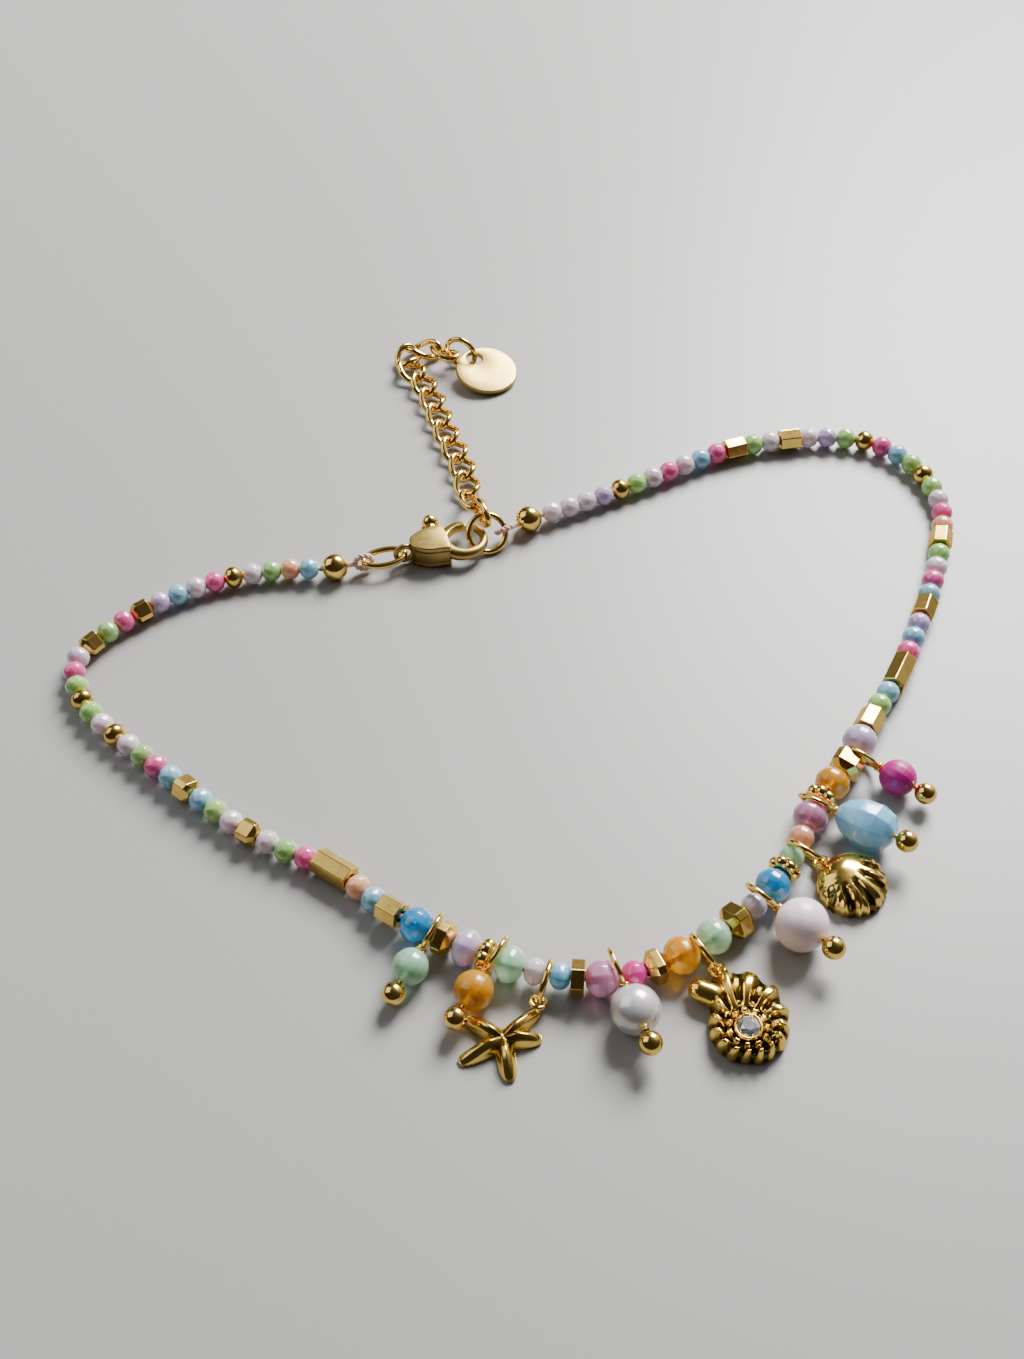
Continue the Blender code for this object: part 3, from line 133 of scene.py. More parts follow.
# Sizes of the pieces that set the route's length
thread = dict(diameter=0.5, endGap=0.3, beadGap=0.2, core=0.9, ply=0.62)
crimp = dict(diameter=2.6, loopHole=1.15, standOff=0.45, hole=0.5, lip=0.86)
link = dict(length=4.7, width=2.8, wire=0.6)
ring = dict(diameter=4.2, wire=0.5, thick=0.6, lean=radians(41), room=0.75, shift=0.1)
clasp = dict(
    thickness=2.6, backWidth=1.2, width=3.5, neck=0.75, front=4.3, eyeHole=1.2, eyeWire=0.55,
    hookRadius=2.0, hookX=6.0, hookY=-0.1, wireRoot=1.45, wireTip=0.85, hookStart=radians(200),
    hookTip=radians(46), leverThickness=0.9, sideGap=0.22, rootGap=0.3, edge=0.16, rivet=0.35,
    tipInner=radians(64), tipOuter=radians(80), backAngle=radians(142), gateWidth=0.7,
    pivotX=3.2, pivotY=0.45, rootRadius=0.95, tabReach=2.3, tabWidth=0.7, knob=0.86,
)
pin = dict(wire=0.4, loop=3.4, ball=1.85, gap=0.2, room=0.62, seat=0.93)
charmRing = dict(diameter=3.6, wire=0.5, room=0.7, reach=0.77, gap=radians(140))


def smoothThrough(points, closed, samples=samplesPerSpan):
    count = len(points)
    dense = []
    for i in range(count if closed else count - 1):
        near = range(i - 1, i + 3)
        a, b, c, d = (Vector(points[n % count if closed else min(max(n, 0), count - 1)])
                      for n in near)
        for k in range(samples):
            t = k / samples
            dense.append(0.5 * (2 * b + (c - a) * t + (2 * a - 5 * b + 4 * c - d) * t**2
                                + (3 * b - a - 3 * c + d) * t**3))
    dense.append(Vector(points[0 if closed else -1]))
    return dense


class Path:
    def __init__(self, points):
        self.points = points
        self.lengths = [0.0]
        for before, after in zip(points, points[1:]):
            self.lengths.append(self.lengths[-1] + (after - before).length)
        self.total = self.lengths[-1]

    def at(self, length):
        i = 0
        while i < len(self.lengths) - 2 and self.lengths[i + 1] < length:
            i += 1
        share = (length - self.lengths[i]) / (self.lengths[i + 1] - self.lengths[i])
        return self.points[i].lerp(self.points[i + 1], share)


def kindOf(name):
    return name if name in stringKinds else "stone"


def hangerRoom(name):
    if name is None:
        return 0.0
    return pin["room"] if name in drops else charmRing["room"]


leftLength = packing["left"] * sum(stringKinds[kindOf(k)]["length"] for k in leftString)
rightLength = packing["right"] * sum(stringKinds[kindOf(k)]["length"] for k in rightString)
frontLength = sum(row[3] * packing["front"] + hangerRoom(row[5]) for row in frontBeads)
loopRadius = (crimp["loopHole"] + thread["diameter"]) / 2
loopFromCrimp = (crimp["diameter"] / 2 + crimp["standOff"] + loopRadius
                 + thread["diameter"] / 2)
linkReach = (link["length"] - link["wire"]) / 2
ringRadius = (ring["diameter"] - ring["wire"]) / 2
ringInHook = (clasp["hookX"] + clasp["hookRadius"] - clasp["wireTip"] / 2 - ring["room"]
              - ring["wire"] / 2)
sLeft = crimp["diameter"] / 2 + thread["endGap"]
sFront = sLeft + leftLength + thread["beadGap"] / 2
sRight = sFront + frontLength + thread["beadGap"] / 2
sRightCrimp = sRight + rightLength + thread["endGap"] + crimp["diameter"] / 2
sRightLoop = sRightCrimp + loopFromCrimp
sRing = sRightLoop + ringRadius
sEye = sRing + ringInHook + ringRadius
sLink = sEye + linkReach
sLeftLoop = sLink + linkReach
sTotal = sLeftLoop + loopFromCrimp
drawn = smoothThrough(routePoints, True)
drawnCentre = sum(drawn, Vector((0, 0))) / len(drawn)
drawnScale = sTotal / Path(drawn).total
route = Path([drawnCentre + (p - drawnCentre) * drawnScale for p in drawn])

frontHeight = max(row[4] for row in frontBeads) / 2
stringHeight = max(row["diameter"] for row in stringKinds.values()) / 2
claspHeight = max(crimp["diameter"], clasp["thickness"]) / 2
rampLength = 5.0
shift = Vector((0, 0, 0))


def smoothStep(share):
    share = max(0.0, min(1.0, share))
    return share * share * (3 - 2 * share)


def threadHeight(s):
    rise = smoothStep((s - sFront + rampLength) / rampLength)
    fall = smoothStep((s - sRight) / rampLength)
    start = 1 - smoothStep((s - sLeft) / rampLength)
    end = smoothStep((s - sRightCrimp + rampLength) / rampLength)
    height = stringHeight + (frontHeight - stringHeight) * (rise - fall)
    return height + (claspHeight - stringHeight) * max(start, end)


def threadAt(s):
    flat = route.at(s % sTotal)
    return Vector((flat.x, flat.y, threadHeight(s))) + shift


def threadDirection(s, step=0.4):
    return (threadAt(s + step) - threadAt(s - step)).normalized()


def beadPlace(s):
    turn = threadDirection(s).to_track_quat("Z", "X").to_matrix().to_4x4()
    turn.translation = threadAt(s)
    return turn


def outward(s, swing=0.0):
    along = threadDirection(s)
    flat = Vector((along.y, -along.x, 0)).normalized()
    return Matrix.Rotation(radians(swing), 3, "Z") @ flat


def placeAt(centre, along, up=(0, 0, 1)):
    x = Vector(along).normalized()
    y = Vector(up).cross(x).normalized()
    made = Matrix((x, y, x.cross(y))).transposed().to_4x4()
    made.translation = centre
    return made


def turned(angle, axis="Z"):
    return Matrix.Rotation(angle, 4, axis)


# the solids stand on the jewel's own origin: the left crimp's box gives the shift
crimpLow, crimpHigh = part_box("crimp_left")
crimpMiddle = (Vector(crimpLow) + Vector(crimpHigh)) / 2 / metres
shift = crimpMiddle - threadAt(0)

# Camera: angles in degrees, height in mm, focal length and picture height in pixels
view = dict(pitch=48.59, roll=2.0, height=99.4, focal=1450, picture=1359, film=36)


def makeCamera():
    pitch, roll = radians(view["pitch"]), radians(view["roll"])
    right = Vector((1, 0, 0))
    forward = Vector((0, cos(pitch), -sin(pitch)))
    up = Vector((0, sin(pitch), cos(pitch)))
    x = right * cos(roll) - up * sin(roll)
    y = right * sin(roll) + up * cos(roll)
    place = Matrix((x, y, -forward)).transposed().to_4x4()
    place.translation = (Vector((0, 0, view["height"])) + shift) * metres
    lens = bpy.data.cameras.new("camera")
    lens.sensor_fit = "VERTICAL"
    lens.sensor_height = view["film"]
    lens.lens = view["focal"] * view["film"] / view["picture"]
    lens.clip_start = 0.005
    camera = bpy.data.objects.new("camera", lens)
    camera.matrix_world = place
    bpy.context.scene.collection.objects.link(camera)
    bpy.context.scene.camera = camera


makeCamera()
print("route", round(sTotal, 2), "mm, shift", [round(c, 3) for c in shift])

# Shapes: each returns points in mm and faces


def polar(radius, angle, z=0.0):
    return Vector((radius * cos(angle), radius * sin(angle), z))


def around(radius, count, z=0.0, turn=0.0):
    # points of a circle, turned by a share of one step
    return [polar(radius, tau * (k + turn) / count, z) for k in range(count)]


def band(low, high, count):
    # faces between two rows of points
    return [(low + k, low + (k + 1) % count, high + (k + 1) % count, high + k)
            for k in range(count)]


def drilled(count, top, base):
    # flat ends between outline and hole, and the wall of the hole
    faces = []
    for k in range(count):
        n = (k + 1) % count
        faces += [(n, k, base + k, base + n),
                  (top + k, top + n, base + count + n, base + count + k),
                  (base + n, base + k, base + count + k, base + count + n)]
    return faces


def moved(shape, place):
    return [place @ v for v in shape[0]], shape[1]


def lathe(profile, sides, closed=True):
    verts = [p for r, z in profile for p in around(r, sides, z)]
    rows = len(profile)
    faces = []
    for i in range(rows if closed else rows - 1):
        low, high = i * sides, (i + 1) % rows * sides
        faces += [(low + k, high + k, high + (k + 1) % sides, low + (k + 1) % sides)
                  for k in range(sides)]
    if not closed:
        faces.append(tuple(range(sides)))
        faces.append(tuple(reversed(range((rows - 1) * sides, rows * sides))))
    return verts, faces


def ball(reach, sides, steps, centre=0):
    lifts = [pi / 2 - pi * k / steps for k in range(steps + 1)]
    return lathe([(max(reach * cos(a), 0.01), centre + reach * sin(a)) for a in lifts],
                 sides, False)


def boredRows(reach, half, neck, end, steps):
    # profile of a round bead with a hole: end is where its flat ends stand
    lifts = [pi / 2 - pi * k / steps for k in range(1, steps)]
    rows = [(max(neck, reach * cos(a)), half * sin(a)) for a in lifts]
    return [(neck, end)] + rows + [(neck, -end)]


def sweep(points, radii, sides=12, closed=False):
    # tube along points, with a frame that follows them without twist
    count = len(points)
    points = [Vector(p) for p in points]
    if not hasattr(radii, "__len__"):
        radii = [radii] * count
    tangents = []
    for i in range(count):
        after = points[(i + 1) % count if closed else min(i + 1, count - 1)]
        before = points[i - 1 if closed else max(i - 1, 0)]
        tangents.append((after - before).normalized())
    side = tangents[0].orthogonal()
    frames = []
    for tangent in tangents:
        side = (side - tangent * side.dot(tangent)).normalized()
        frames.append((side.copy(), tangent.cross(side)))
    slip = 0.0
    if closed:  # spread the frame's closing error along the loop
        last = frames[-1][0] - tangents[0] * frames[-1][0].dot(tangents[0])
        last.normalize()
        slip = atan2(last.dot(frames[0][1]), last.dot(frames[0][0]))
    verts = []
    for i, (across, over) in enumerate(frames):
        for k in range(sides):
            angle = tau * k / sides - slip * i / count
            verts.append(points[i] + radii[i] * (across * cos(angle) + over * sin(angle)))
    faces = []
    for i in range(count if closed else count - 1):
        faces += band(i * sides, (i + 1) % count * sides, sides)
    if not closed:
        faces.append(tuple(reversed(range(sides))))
        faces.append(tuple(range((count - 1) * sides, count * sides)))
    return verts, faces


def softened(verts, faces, width, segments=1, angle=radians(12)):
    # the same shape with its edges rounded off
    work = bmesh.new()
    made = [work.verts.new(v) for v in verts]
    for face in faces:
        work.faces.new([made[i] for i in face])
    bmesh.ops.recalc_face_normals(work, faces=work.faces)
    edges = [e for e in work.edges if e.calc_face_angle(0.0) > angle]
    bmesh.ops.bevel(work, geom=edges, offset=width, segments=segments, profile=0.5,
                    affect="EDGES", clamp_overlap=True)
    work.verts.index_update()
    out = [v.co.copy() for v in work.verts], [tuple(v.index for v in f.verts) for f in work.faces]
    work.free()
    return out


stoneCut = dict(cover=0.93, bore=0.6)  # how far the belts reach, and the bore's share


def cutStone(length, diameter, hole, sides, belts, outline=None, square=False):
    # drilled stone with belts of flat facets, each belt turned by half a facet or square
    half, reach = length / 2, diameter / 2
    limit = acos(hole / reach)
    cover = stoneCut["cover"]
    lifts = [-limit * cover + 2 * limit * cover * i / (belts - 1) for i in range(belts)]
    rows = outline or [(reach * cos(a), half * sin(a) / sin(limit)) for a in lifts]
    step = 0.0 if square else 0.5
    verts = [p for i, (r, z) in enumerate(rows) for p in around(r, sides, z, step * (i % 2))]
    faces = []
    last = len(rows) - 1
    for i in range(last):
        low, high = i * sides, (i + 1) * sides
        if square:
            faces += band(low, high, sides)
            continue
        for k in range(sides):
            n = (k + 1) % sides
            if i % 2:
                faces += [(low + k, high + n, high + k), (low + k, low + n, high + n)]
            else:
                faces += [(low + k, low + n, high + k), (high + k, low + n, high + n)]
    base = len(verts)
    for i in (0, last):
        verts += around(hole * stoneCut["bore"], sides, rows[i][1], step * (i % 2))
    faces += [tuple(reversed(quad)) for quad in band(0, base, sides)]
    faces += band(last * sides, base + sides, sides) + band(base, base + sides, sides)
    return verts, faces


def facetedStone(length, diameter, hole, sides, belts, outline=None, soft=0.12, steps=2):
    # a large stone, whose flat facets have slightly rounded edges
    shape = cutStone(length, diameter, hole, sides, belts, outline, True)
    return softened(*shape, soft, steps, radians(4))


def prism(outline, low, high, hole=None):
    # upright solid on a flat outline; a hole has as many points as the outline
    count = len(outline)
    verts = [Vector((x, y, z)) for z in (low, high) for x, y in outline]
    faces = band(0, count, count)
    if hole is None:
        return verts, faces + [tuple(reversed(range(count))), tuple(range(count, 2 * count))]
    verts += [Vector((x, y, z)) for z in (low, high) for x, y in hole]
    return verts, faces + drilled(count, count, 2 * count)


def circle(radius, count, x=0):
    return [(x + radius * cos(tau * k / count), radius * sin(tau * k / count))
            for k in range(count)]


goldCube = dict(side=0.93, cut=0.42, inset=0.9, bore=0.62, soft=0.05)


def cornerlessCube(length, diameter, hole):
    # a cube whose corners and edges are cut off, drilled through two faces
    half = length / 2
    side = diameter / 2 * goldCube["side"]
    cut = goldCube["cut"] * side
    verts = []
    for z, reach in ((-half, side - cut), (-half + cut, side), (half - cut, side),
                     (half, side - cut)):
        inset = reach - cut * goldCube["inset"]
        corners = [(reach, -inset), (reach, inset), (inset, reach), (-inset, reach),
                   (-reach, inset), (-reach, -inset), (-inset, -reach), (inset, -reach)]
        verts += [Vector((x, y, z)) for x, y in corners]
    faces = [face for i in range(3) for face in band(8 * i, 8 * i + 8, 8)]
    for z in (-half, half):
        verts += around(hole * goldCube["bore"], 8, z, -0.5)
    return softened(verts, faces + drilled(8, 24, 32), goldCube["soft"], 2)


def hexTube(length, diameter, hole=0.7):
    verts, faces = prism(circle(diameter / 2, 6), -length / 2, length / 2,
                         circle(hole * 0.75, 6))
    return softened(verts, faces, 0.07, 2, radians(30))


class Build:
    # gathers shapes into one piece
    def __init__(self):
        self.verts = []
        self.faces = []
        self.smooth = []
        self.tints = []

    def add(self, shape, place=None, smooth=True, tint=(1, 1, 1), shade=None):
        verts, faces = shape
        base = len(self.verts)
        self.verts += [place @ v if place else v for v in verts]
        self.faces += [tuple(base + i for i in face) for face in faces]
        self.smooth += [smooth] * len(faces)
        if shade:  # painted shade: darkening of each face, from its middle
            for face in faces:
                level = shade(sum((verts[i] for i in face), Vector()) / len(face))
                self.tints.append((level, level, level))
        else:
            self.tints += [tint] * len(faces)
        return self

    def piece(self, name, material, slotName, nodes=(), body=rootBody, autoSmooth=None):
        mesh = bpy.data.meshes.new(name)
        mesh.from_pydata([tuple(v * metres) for v in self.verts], [], self.faces)
        mesh.polygons.foreach_set("use_smooth", self.smooth)
        # tint of each face: a small stone's own colour, or painted shade on the cast charms
        colour = mesh.color_attributes.new(name="tint", type="FLOAT_COLOR", domain="CORNER")
        values = []
        for face, tint in zip(mesh.polygons, self.tints):
            values += [*tint, 1.0] * face.loop_total
        colour.data.foreach_set("color", values)
        mesh.materials.append(material)
        work = bmesh.new()
        work.from_mesh(mesh)
        bmesh.ops.recalc_face_normals(work, faces=work.faces)
        work.to_mesh(mesh)
        work.free()
        if autoSmooth:
            mesh.set_sharp_from_angle(angle=autoSmooth)
        mesh.update()
        item = bpy.data.objects.new(name, mesh)
        bpy.context.scene.collection.objects.link(item)
        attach(item, body)
        if nodes:
            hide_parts(*nodes)
        return item


# Materials


class Look:
    # nodes of a material or of the world; an input takes a value or another node's output
    def __init__(self, owner):
        owner.use_nodes = True
        self.owner = owner
        self.tree = owner.node_tree

    def fill(self, node, values):
        for name, value in values.items():
            if isinstance(value, bpy.types.NodeSocket):
                self.tree.links.new(value, node.inputs[name])
            else:
                node.inputs[name].default_value = value
        return node

    def shader(self, values):
        self.fill(self.tree.nodes["Principled BSDF"], values)

    def node(self, kind, values={}, **settings):
        made = self.tree.nodes.new("ShaderNode" + kind)
        for name, value in settings.items():
            setattr(made, name, value)
        return self.fill(made, values)

    def noise(self, scale, detail, distortion=0.0):
        where = self.node("TexCoord").outputs["Object"]
        return self.node("TexNoise", {"Scale": scale, "Detail": detail, "Vector": where,
                                      "Distortion": distortion}).outputs["Fac"]

    def ramp(self, source, *stops):
        made = self.node("ValToRGB", {"Fac": source})
        while len(made.color_ramp.elements) < len(stops):
            made.color_ramp.elements.new(0.5)
        for element, (place, colour) in zip(made.color_ramp.elements, stops):
            element.position = place
            element.color = (*colour, 1)
        return made.outputs["Color"]

    def mix(self, share, low, high, way="MIX"):
        values = {"Factor": share, "A": low, "B": high}
        return self.node("Mix", values, data_type="RGBA", blend_type=way).outputs["Result"]

    def tint(self):
        return self.node("Attribute", attribute_name="tint").outputs["Color"]

    def rough(self, source, low, high):
        spread = self.node("MapRange", {"Value": source, "To Min": low, "To Max": high})
        self.shader({"Roughness": spread.outputs["Result"]})

    def bump(self, source, strength, distance):
        made = self.node("Bump", {"Height": source, "Strength": strength, "Distance": distance})
        self.shader({"Normal": made.outputs["Normal"]})


def newLook(name, values):
    look = Look(bpy.data.materials.new(name))
    look.shader(values)
    return look


def scaled(colour, share):
    return tuple(min(1.0, c * share) for c in colour)


def goldMaterial(name, colour=(0.93, 0.62, 0.16), rough=0.12, worn=0.07, grain=0.02,
                 shadedRecesses=False):
    look = newLook(name, {"Metallic": 1.0, "Specular Tint": (1.0, 0.90, 0.66, 1)})
    result = look.ramp(look.noise(700, 4), (0.3, scaled(colour, 0.82)), (0.55, colour),
                       (0.75, scaled(colour, 1.12)))
    # painted shade in the recesses: the base colour is multiplied by each face's tint
    if shadedRecesses:
        result = look.mix(1.0, result, look.tint(), "MULTIPLY")
    look.shader({"Base Color": result})
    look.rough(look.noise(2600, 5, 0.6), max(0.03, rough - worn), rough + worn)
    look.bump(look.noise(5200, 3), grain, 0.00004)
    return look.owner


def stoneMaterial(name, colour, rough=0.16, depth=0.75, clear=0.35, cloudy=0.08, veins=None,
                  coat=0.8):
    # polished translucent stone; with no colour it takes the tint of each stone
    look = newLook(name, {
        "Subsurface Weight": depth, "Subsurface Scale": 0.0009,
        "Subsurface Radius": tuple(max(0.15, c) for c in colour or (1.0, 0.8, 0.7)),
        "Transmission Weight": clear, "IOR": 1.55, "Coat Weight": coat, "Coat Roughness": 0.05,
    })
    cloud = look.noise(520, 4, 0.8)
    if colour:
        result = look.ramp(cloud, (0.28, scaled(colour, 1 - cloudy)), (0.5, colour),
                           (0.74, tuple(c + (1 - c) * cloudy for c in colour)))
    else:
        shade = look.ramp(cloud, (0.3, (0.90, 0.90, 0.90)), (0.52, (1.0, 1.0, 1.0)),
                          (0.75, (1.10, 1.10, 1.10)))
        result = look.mix(1.0, look.tint(), shade, "MULTIPLY")
    if veins:
        mask = look.ramp(look.noise(veins["scale"], 6, 1.5), (veins["start"], (0, 0, 0)),
                         (veins["start"] + 0.07, (1, 1, 1)))
        result = look.mix(mask, result, (*veins["colour"], 1))
    look.shader({"Base Color": result})
    look.rough(look.noise(2400, 4), max(0.04, rough - 0.07), rough + 0.10)
    look.bump(look.noise(6000, 2), 0.04, 0.00003)
    return look.owner


def pearlMaterial():
    look = newLook("pearlNacre", {
        "Metallic": 0.35, "Roughness": 0.24, "Subsurface Weight": 0.35,
        "Subsurface Scale": 0.0006, "Coat Weight": 1.0, "Coat Roughness": 0.09,
        "Sheen Weight": 0.25, "Sheen Tint": (1.0, 0.86, 0.88, 1), "Thin Film Thickness": 420,
        "Thin Film IOR": 1.45,
    })
    # base colour lighter and cooler where the pearl faces the camera and darker towards its rim,
    # a painted shade, with a painted warm reflection at the very rim
    facing = look.node("LayerWeight", {"Blend": 0.45}).outputs["Facing"]
    look.shader({"Base Color": look.ramp(
        facing, (0.0, (0.78, 0.76, 0.77)), (0.45, (0.68, 0.63, 0.62)),
        (0.8, (0.46, 0.46, 0.47)), (1.0, (0.66, 0.56, 0.46)))})
    look.bump(look.noise(900, 4, 0.5), 0.10, 0.00006)
    return look.owner


def threadMaterial():
    look = newLook("threadTwist", {"Roughness": 0.5, "Sheen Weight": 0.4})
    ply = look.noise(3000, 4)
    look.shader({"Base Color": look.ramp(ply, (0.3, (0.60, 0.36, 0.26)),
                                         (0.55, (0.80, 0.56, 0.43)), (0.8, (0.90, 0.74, 0.64)))})
    look.bump(ply, 0.25, 0.00005)
    return look.owner


def crystalMaterial():
    look = newLook("crystalClear", {
        "Roughness": 0.02, "IOR": 2.2, "Metallic": 0.45, "Transmission Weight": 0.8,
        "Coat Weight": 1.0, "Coat Roughness": 0.01,
    })
    look.shader({"Base Color": look.ramp(look.noise(1800, 3), (0.3, (0.80, 0.84, 0.92)),
                                         (0.7, (0.97, 0.98, 1.0)))})
    return look.owner


gold = goldMaterial("goldPolished")
# the cast charms' gold carries painted shade in its recesses
goldCast = goldMaterial("goldCast", (0.95, 0.65, 0.15), 0.17, 0.07, 0.03, True)
goldFlat = goldMaterial("goldBrushed", (0.76, 0.51, 0.13), 0.18, 0.07, 0.04)
goldSatin = goldMaterial("goldSatin", (0.42, 0.29, 0.09), 0.36, 0.10, 0.12)
smallStones = stoneMaterial("smallStones", None, 0.18, 0.5, 0.22)
stoneColours = {
    "blue": dict(colour=(0.01, 0.36, 0.74), rough=0.16, clear=0.5),
    "lilac": dict(colour=(0.68, 0.55, 0.78), rough=0.22),
    "mint": dict(colour=(0.52, 0.86, 0.60), rough=0.20, clear=0.5),
    "pale": dict(colour=(0.86, 0.72, 0.78), rough=0.20),
    "sky": dict(colour=(0.24, 0.64, 0.94), rough=0.16, clear=0.3,
                veins=dict(scale=1500, start=0.70, colour=(0.72, 0.62, 0.34))),
    "mauve": dict(colour=(0.76, 0.34, 0.56), rough=0.22, clear=0.5),
    "hot_pink": dict(colour=(0.80, 0.05, 0.38), rough=0.16),
    "amber": dict(colour=(1.0, 0.47, 0.0), rough=0.22, depth=0.7, cloudy=0.05, clear=0.6,
                  coat=0.45),
    "grey": dict(colour=(0.60, 0.56, 0.64), rough=0.18),
    "peach": dict(colour=(0.90, 0.44, 0.28), rough=0.18),
    "rose": dict(colour=(0.88, 0.75, 0.81), rough=0.42, clear=0.08, cloudy=0.02, coat=0.35),
    "fuchsia": dict(colour=(0.48, 0.0, 0.22), rough=0.40, depth=0.0, cloudy=0.0, clear=0.15,
                    coat=0.2),
}
stones = {
    name: stoneMaterial("stone_" + name, **given) for name, given in stoneColours.items()
}
stones["pearl"] = pearlMaterial()
threadLook = threadMaterial()
crystalLook = crystalMaterial()
print("materials", len(bpy.data.materials))

# Strings of small stones


def twisted(points, radius, turns, closed=False):
    # two plies wound round a path
    path = Path([Vector(p) for p in (points + points[:1] if closed else points)])
    count = max(24, int(turns * 10))
    ribbons = []
    for ply in range(2):
        line = []
        for k in range(count if closed else count + 1):
            s = path.total * k / count
            here = path.at(min(s, path.total * 0.9999))
            ahead = path.at(min(s + 0.05, path.total * 0.99999))
            behind = path.at(max(s - 0.05, 0))
            along = (ahead - behind).normalized()
            side = along.cross(Vector((0.31, 0.17, 0.93))).normalized()
            over = along.cross(side)
            angle = tau * turns * k / count + pi * ply
            line.append(here + radius * 0.47 * (side * cos(angle) + over * sin(angle)))
        ribbons.append(sweep(line, radius * 0.55, 7, closed))
    return ribbons


def claspDirection():
    return (threadAt(sRing) - threadAt(sEye)).normalized()


def leanAxis():
    return (upward.cross(claspDirection()) * cos(ring["lean"])
            + upward * sin(ring["lean"]))


def ringCentre():
    centre = threadAt(sRing) - upward.cross(claspDirection()) * ring["shift"]
    lowest = ringRadius * sin(ring["lean"]) + ring["thick"] / 2 + shift.z
    centre.z = max(centre.z, lowest)
    return centre


def stringThread(name, start, end, crimpS, way, node):
    build = Build()
    count = 90
    core = [threadAt(start + (end - start) * k / count) for k in range(count + 1)]
    build.add(sweep(core, thread["diameter"] / 2 * thread["core"], 8))
    centre = threadAt(crimpS + way * loopFromCrimp)
    if way > 0:
        centre = ringCentre() + claspDirection() * ringRadius
    along = (centre - threadAt(crimpS)).normalized()
    facing = leanAxis() if way > 0 else upward.cross(along)
    place = placeAt(centre, along, facing)
    loop = [place @ p for p in around(loopRadius, 30)]
    near = start if way < 0 else end
    tail = [threadAt(near), threadAt(crimpS), centre - along * loopRadius]
    ply = thread["diameter"] * thread["ply"]
    for shape in twisted(loop, ply, 6, True) + twisted(tail, ply, 6):
        build.add(shape)
    build.piece(name, threadLook, "thread", (node,))


# what the small stones and gold beads look like, as shares of their place on the string
smallStone = dict(longer=1.02, wide=(1.05, 1.11), hole=0.36, sides=9, belts=6, soft=0.06)
goldBead = dict(shorter=0.98, cubeWide=0.905, hole=0.7, neck=1.3)


def makeString(side, kinds, start, share, crimpS, way, node):
    stonesBuild = Build()
    goldBuild = Build()
    s = start
    neck = thread["diameter"] / 2 * goldBead["neck"]
    for kind in kinds:
        size = stringKinds[kindOf(kind)]
        length, diameter = size["length"] * share, size["diameter"]
        place = beadPlace(s + length / 2) @ turned(draw.uniform(0, tau))
        if kind in stoneTints:
            tone = draw.uniform(0.92, 1.08)
            tint = tuple(min(1.0, c * tone * draw.uniform(0.97, 1.03)) for c in stoneTints[kind])
            wide = diameter * draw.uniform(*smallStone["wide"])
            shape = cutStone(length * smallStone["longer"], wide, smallStone["hole"],
                             smallStone["sides"], smallStone["belts"])
            stonesBuild.add(softened(*shape, smallStone["soft"], 2), place, True, tint)
        elif kind == "ball":
            rows = boredRows(diameter / 2, length / 2, neck, length / 2, 16)
            goldBuild.add(lathe(rows, 28), place)
        elif kind == "cube":
            shape = cornerlessCube(length * goldBead["shorter"], diameter * goldBead["cubeWide"],
                                   goldBead["hole"])
            goldBuild.add(shape, place, False)
        else:
            goldBuild.add(hexTube(length * goldBead["shorter"], diameter), place, False)
        s += length
    stonesBuild.piece(f"stones_{side}", smallStones, "strings", (node,))
    goldBuild.piece(f"gold_beads_{side}", goldFlat, "gold", (node,))
    stringThread(f"thread_{side}", start - 0.2, s + 0.2, crimpS, way, node)


makeString("left", leftString, sLeft, packing["left"], 0.0, -1, "bead_string_left")
makeString("right", rightString, sRight, packing["right"], sRightCrimp, 1, "bead_string_right")
print("strings done")

# Front beads

hangers = {}
lobe = dict(count=7, radius=0.58, rim=0.16, sunk=0.95)


def lobedSpacer(build, place, length, diameter, hole):
    # a core between two thin rims, with a row of round lobes
    reach, half, rim = diameter / 2, length / 2, lobe["rim"]
    core = reach - lobe["radius"] * lobe["sunk"]
    rows = [(hole, -half), (core + 0.12, -half), (core + 0.2, -half + rim / 2),
            (core + 0.1, -half + rim), (core, 0), (core + 0.1, half - rim),
            (core + 0.2, half - rim / 2), (core + 0.12, half), (hole, half)]
    build.add(lathe(rows, 48), place)
    squash = Matrix.Diagonal((1, 1, min(1.0, half / lobe["radius"]), 1))
    for k in range(lobe["count"]):
        spot = turned(tau * k / lobe["count"])
        spot = spot @ Matrix.Translation((reach - lobe["radius"], 0, 0)) @ squash
        build.add(ball(lobe["radius"], 20, 14), place @ spot)


# a bead grows towards each loop beside it; large stones have more facets than small ones
frontBead = dict(grow=0.19, gap=0.02, hole=0.42, large=(13, 9), small=(11, 7), limit=2.4)
frontGold = {
    "cut": ("cube", goldFlat), "hex": ("six_sided", goldFlat), "fluted": ("fluted", gold),
}


